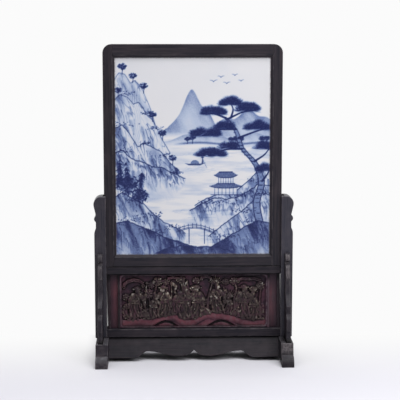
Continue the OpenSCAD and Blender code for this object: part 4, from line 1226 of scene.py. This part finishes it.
# the cliff on the left, from its far tower down to its foot, with a fall of water
crag([(0, 284), (7, 294), (17, 291), (25, 278), (33, 283), (42, 272), (50, 254), (58, 234), (66, 206)],
     110, 0.52, 11)
crag([(0, 252), (9, 260), (20, 255), (30, 244), (39, 248), (50, 228), (62, 216), (74, 192), (88, 166)],
     105, 0.68, 23)
fall = np.array([(34 + 3 * math.sin(s * 5), 246 - 92 * s) for s in np.linspace(0, 1, 12)])
part, u, v = window(22, 48, 150, 248)
middle = np.interp(v, fall[::-1, 1], fall[::-1, 0])
narrow = 5.2 * np.clip((250 - v) / 12, 0.3, 1)
ink[part] *= 1 - within((narrow - np.abs(u - middle)) / 0.9) * within((246 - v) / 3)
for shift in np.linspace(-4.4, 4.4, 7):
    brush([(a + shift, b - 3 * hand.random()) for a, b in fall], 0.45, 0.7, 0.4)
crag([(0, 206), (11, 212), (24, 196), (36, 176), (47, 182), (60, 176), (74, 168), (88, 150), (104, 136)],
     74, 0.84, 37)
crag([(0, 166), (12, 170), (28, 156), (44, 152), (58, 144), (76, 142), (96, 132), (114, 124)], 44, 1.0, 53)
for u0, v0, height in ((12, 292, 16), (29, 279, 14), (46, 262, 15), (60, 217, 15), (76, 187, 15),
                       (92, 147, 14), (5, 256, 14)):
    dotted_tree(u0, v0, height, 0.95)
moss(((20, 262, 8), (50, 230, 6), (66, 206, 6), (14, 212, 8), (48, 182, 6), (80, 162, 6), (12, 170, 7),
      (98, 134, 6)), 26, 0.9)

# the hall on its point of rock
crag([(128, 80), (146, 92), (166, 98), (188, 100), (206, 112), (222, 128), (236, 144), (249, 140)],
     56, 0.9, 61)
waterside_hall(178, 98, 21)
crag([(120, 72), (140, 84), (160, 93), (180, 91), (198, 94), (214, 103), (232, 116), (249, 112)],
     44, 0.95, 67, 0.2)
moss(((150, 86, 8), (206, 96, 8), (232, 122, 8), (172, 84, 12)), 26, 0.9)
ripples(84, 235, 58, 74, 34, 0.45)

# the near banks, the plank bridge, the bamboo and the old pine that leans over the water
crag([(0, 96), (12, 102), (28, 92), (44, 84), (60, 68), (76, 54), (94, 46), (114, 34)], 60, 0.92, 73, 0.16)
crag([(249, 98), (236, 100), (220, 86), (204, 70), (186, 58), (168, 44), (150, 30)], 62, 0.92, 79, 0.16)
plank_bridge(100, 37.5, 62)
leaf_mass(20, 116, 17, 17, 120, 0.95)
leaf_mass(40, 98, 13, 12, 80, 0.9)
for u0, v0, height in ((12, 98, 56), (24, 98, 50), (38, 88, 44), (4, 96, 44)):
    bamboo(u0, v0, height)
trunk = curve([(236, 40), (226, 84), (238, 118), (226, 150), (202, 174), (196, 200), (178, 222)], 30)
half_trunk = np.stack([6.2 - 0.14 * np.arange(len(trunk)), np.zeros(len(trunk))], axis=1)
filled(np.concatenate([trunk + half_trunk, (trunk - half_trunk)[::-1]]), 0.5)
for side in (-1, 1):
    brush(trunk + side * half_trunk, 1.6, 1.0, 0.95)
for _ in range(110):
    a, b = trunk[int(hand.random() * 29)]
    a += hand.uniform(-4.2, 4.2)
    brush(curve([(a - 1.7, b + 0.4), (a, b - 1.2), (a + 1.7, b + 0.4)], 5), 0.8, 0.6, 0.75)
for bough in (((237, 120), (246, 132), (249, 138)), ((224, 152), (240, 162), (248, 172)),
              ((204, 172), (178, 172), (150, 162)), ((198, 190), (224, 200), (240, 204)),
              ((194, 204), (166, 204), (140, 194)), ((180, 220), (204, 232), (222, 234)),
              ((178, 222), (158, 230), (146, 228)), ((186, 223), (190, 236), (186, 244))):
    brush(curve(bough, 9), 3.4, 1.4, 0.95)
for pad in ((240, 138, 9, 10), (240, 174, 12, 14), (154, 163, 22, 22), (184, 175, 12, 10),
            (230, 206, 18, 20), (144, 196, 21, 22), (176, 206, 13, 11), (212, 235, 18, 20),
            (156, 230, 18, 18), (186, 245, 16, 16)):
    needle_pad(*pad)
crag([(0, 52), (18, 56), (38, 47), (60, 38), (84, 27), (112, 18), (138, 8)], 70, 1.0, 83, 0.62)
crag([(249, 52), (230, 55), (208, 44), (186, 31), (164, 18), (146, 7)], 70, 1.0, 89, 0.62)
crag([(64, 2), (84, 11), (104, 14), (128, 12), (150, 13), (172, 10), (190, 2)], 30, 1.0, 97, 0.7)
moss(((30, 92, 9), (62, 66, 9), (20, 56, 12), (60, 38, 10), (90, 46, 8), (236, 100, 9), (206, 72, 9),
      (224, 52, 12), (180, 30, 8)), 34, 1.0)
ripples(100, 165, 14, 34, 16, 0.5)

# a dense front face that carries the painting, with the glaze's slight unevenness
columns = int((plaque_high.x - plaque_low.x) / plaque_pitch)
rows = int((plaque_high.z - plaque_low.z) / plaque_pitch)
glazed_x = np.linspace(plaque_low.x, plaque_high.x, columns + 1)[None, :] + np.zeros((rows + 1, 1))
glazed_z = np.linspace(plaque_low.z, plaque_high.z, rows + 1)[:, None] + np.zeros((1, columns + 1))
u = (glazed_x - plaque_low.x) * 1000 - picture_margin
v = (glazed_z - plaque_low.z) * 1000 - picture_margin
glazed_y = plaque_low.y + glaze_wave * (1 + np.sin(u / wave_across) * np.sin(v / wave_up))
i = np.clip((u / canvas_cell).astype(int), 0, canvas_columns - 1)
j = np.clip((v / canvas_cell).astype(int), 0, canvas_rows - 1)
padded_ink = np.pad(ink, 1, mode="edge")
soft_ink = sum(padded_ink[a:a + canvas_rows, b:b + canvas_columns] for a in range(3) for b in range(3)) / 9
to_sight = np.minimum(np.minimum(u, picture_w - u), np.minimum(v, picture_h - v))

plaque_material, tree, spot = new_material("painted_porcelain")
pooling = noise(tree, spot, pooling_scale, 3.0)
uneven = between(tree, spread(tree, pooling, 0.3, 0.7), 0.88, 1.1)
tones = node(tree, "ShaderNodeValToRGB", {"Fac": times(tree, attribute(tree, "cobalt"), uneven)})
stops = tones.color_ramp.elements
for place, colour in cobalt_tones:
    stop = stops[0] if place == 0 else stops[-1] if place == 1 else stops.new(place)
    stop.position = place
    stop.color = colour
edging = times(tree, attribute(tree, "brim"), spread(tree, pooling, 0.35, 0.6))
tone = mixed(tree, times(tree, edging, edge_grime_share), tones.outputs[0], edge_grime)
coated(tree, {"Base Color": tone, "Roughness": 0.16, "Specular IOR Level": 0.2})
painted_values = {"cobalt": soft_ink[j, i], "brim": np.maximum(1 - to_sight / edge_grime_w, 0.0)}
plaque = closed_field("painted_plaque", glazed_x, glazed_y, glazed_z, plaque_high.y, plaque_material,
                      painted_values)
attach(plaque, "screen")
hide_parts("porcelain_plaque")


# Back board: a thin planed board of plain wood, unpolished, that closes the back and bears on the plaque.
# It is held in the frame's rebate by the beads.
board_ease = 0.0004
board_pale = (0.150, 0.092, 0.055, 1.0)
board_deep = (0.062, 0.036, 0.022, 1.0)
board_stain = (0.030, 0.020, 0.015, 1.0)
board_grain = 95.0
board_material, tree, spot = new_material("planed_board")
grain = placed(tree, grain_group, {"Vector": spot, "Stretch": along_z, "Scale": board_grain})
tone = layered(tree, board_pale, (
    (grain["Streak"], board_deep), (times(tree, grain["Pores"], 0.6), board_stain),
    (times(tree, grain["Patch"], 0.45), board_stain)))
bump = node(tree, "ShaderNodeBump", {"Height": grain["Streak"], "Strength": 0.3, "Distance": 0.0004})
coated(tree, {"Base Color": tone, "Roughness": 0.78, "Normal": bump.outputs[0], "Specular IOR Level": 0.25})
finished("back_board", board_ease, board_material, "screen")


# Back beads: four planed strips of the frame's hardwood, laid in the rebate behind the board
# and bradded to the frame, which hold the board and the plaque.
bead_ease = 0.0005
for source, bead_wood in (("back_left_bead", stile_wood), ("back_right_bead", stile_wood),
                          ("back_top_bead", frame_rail_wood), ("back_bottom_bead", frame_rail_wood)):
    finished(source, bead_ease, bead_wood, "screen")


# Brads: small iron pins with flat heads, gone brown with rust, driven through the beads into the frame
# in even rows, with their heads a little proud.
brad_r = 0.0011
brad_l = 0.0030
brad_proud = 0.00025
brad_inset = 0.0022
brad_facets = 14
rust_scale = 900.0
iron = (0.05, 0.043, 0.04, 1.0)
rust_brown = (0.075, 0.034, 0.018, 1.0)
brad_material, tree, spot = new_material("rusty_brad")
rusted = spread(tree, noise(tree, spot, rust_scale, 3.0), 0.4, 0.65)
coated(tree, {"Base Color": mixed(tree, rusted, iron, rust_brown), "Metallic": 0.6, "Roughness": 0.6})
brad_row = bpy.data.node_groups.new("row of brads", "GeometryNodeTree")
brad_row.interface.new_socket("Geometry", in_out="OUTPUT", socket_type="NodeSocketGeometry")
brad_inputs = {}
for label, kind in (("Start", "NodeSocketVector"), ("Step", "NodeSocketVector"), ("Count", "NodeSocketInt")):
    brad_inputs[label] = brad_row.interface.new_socket(label, in_out="INPUT", socket_type=kind).identifier
given = node(brad_row, "NodeGroupInput").outputs
line = node(brad_row, "GeometryNodeMeshLine",
            {"Count": given["Count"], "Start Location": given["Start"], "Offset": given["Step"]})
head = node(brad_row, "GeometryNodeMeshCylinder",
            {"Vertices": brad_facets, "Radius": brad_r, "Depth": brad_l})
turned = node(brad_row, "GeometryNodeTransform",
              {"Geometry": head.outputs[0], "Rotation": (math.pi / 2, 0.0, 0.0)})
many = node(brad_row, "GeometryNodeInstanceOnPoints",
            {"Points": line.outputs[0], "Instance": turned.outputs[0]})
real = node(brad_row, "GeometryNodeRealizeInstances", {0: many.outputs[0]})
dressed = node(brad_row, "GeometryNodeSetMaterial", {0: real.outputs[0], "Material": brad_material})
node(brad_row, "NodeGroupOutput", {0: dressed.outputs[0]})
for source, count in (("back_left_bead", 6), ("back_right_bead", 6),
                      ("back_top_bead", 5), ("back_bottom_bead", 5)):
    low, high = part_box(source)
    middle = (low + high) / 2
    run = high - low
    start = [middle.x, high.y + brad_proud - brad_l / 2, middle.z]
    if run.z > run.x:
        step = (0.0, 0.0, run.z / count)
        start[2] = low.z + step[2] / 2
        start[0] = low.x + brad_inset if low.x < 0 else high.x - brad_inset
    else:
        step = (run.x / count, 0.0, 0.0)
        start[0] = low.x + step[0] / 2
        start[2] = high.z - brad_inset if source == "back_top_bead" else low.z + brad_inset
    carrier = linked(source + "_brads", bpy.data.meshes.new(source + "_brads"))
    modifier = carrier.modifiers.new("brads", "NODES")
    modifier.node_group = brad_row
    modifier[brad_inputs["Start"]] = start
    modifier[brad_inputs["Step"]] = step
    modifier[brad_inputs["Count"]] = count
    bpy.context.view_layer.update()
    plain = bpy.data.meshes.new_from_object(carrier.evaluated_get(bpy.context.evaluated_depsgraph_get()))
    carrier.modifiers.clear()
    carrier.data = plain
    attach(carrier, "screen")

size = {"cad": cad_box, "visual": [list(corner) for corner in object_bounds()]}
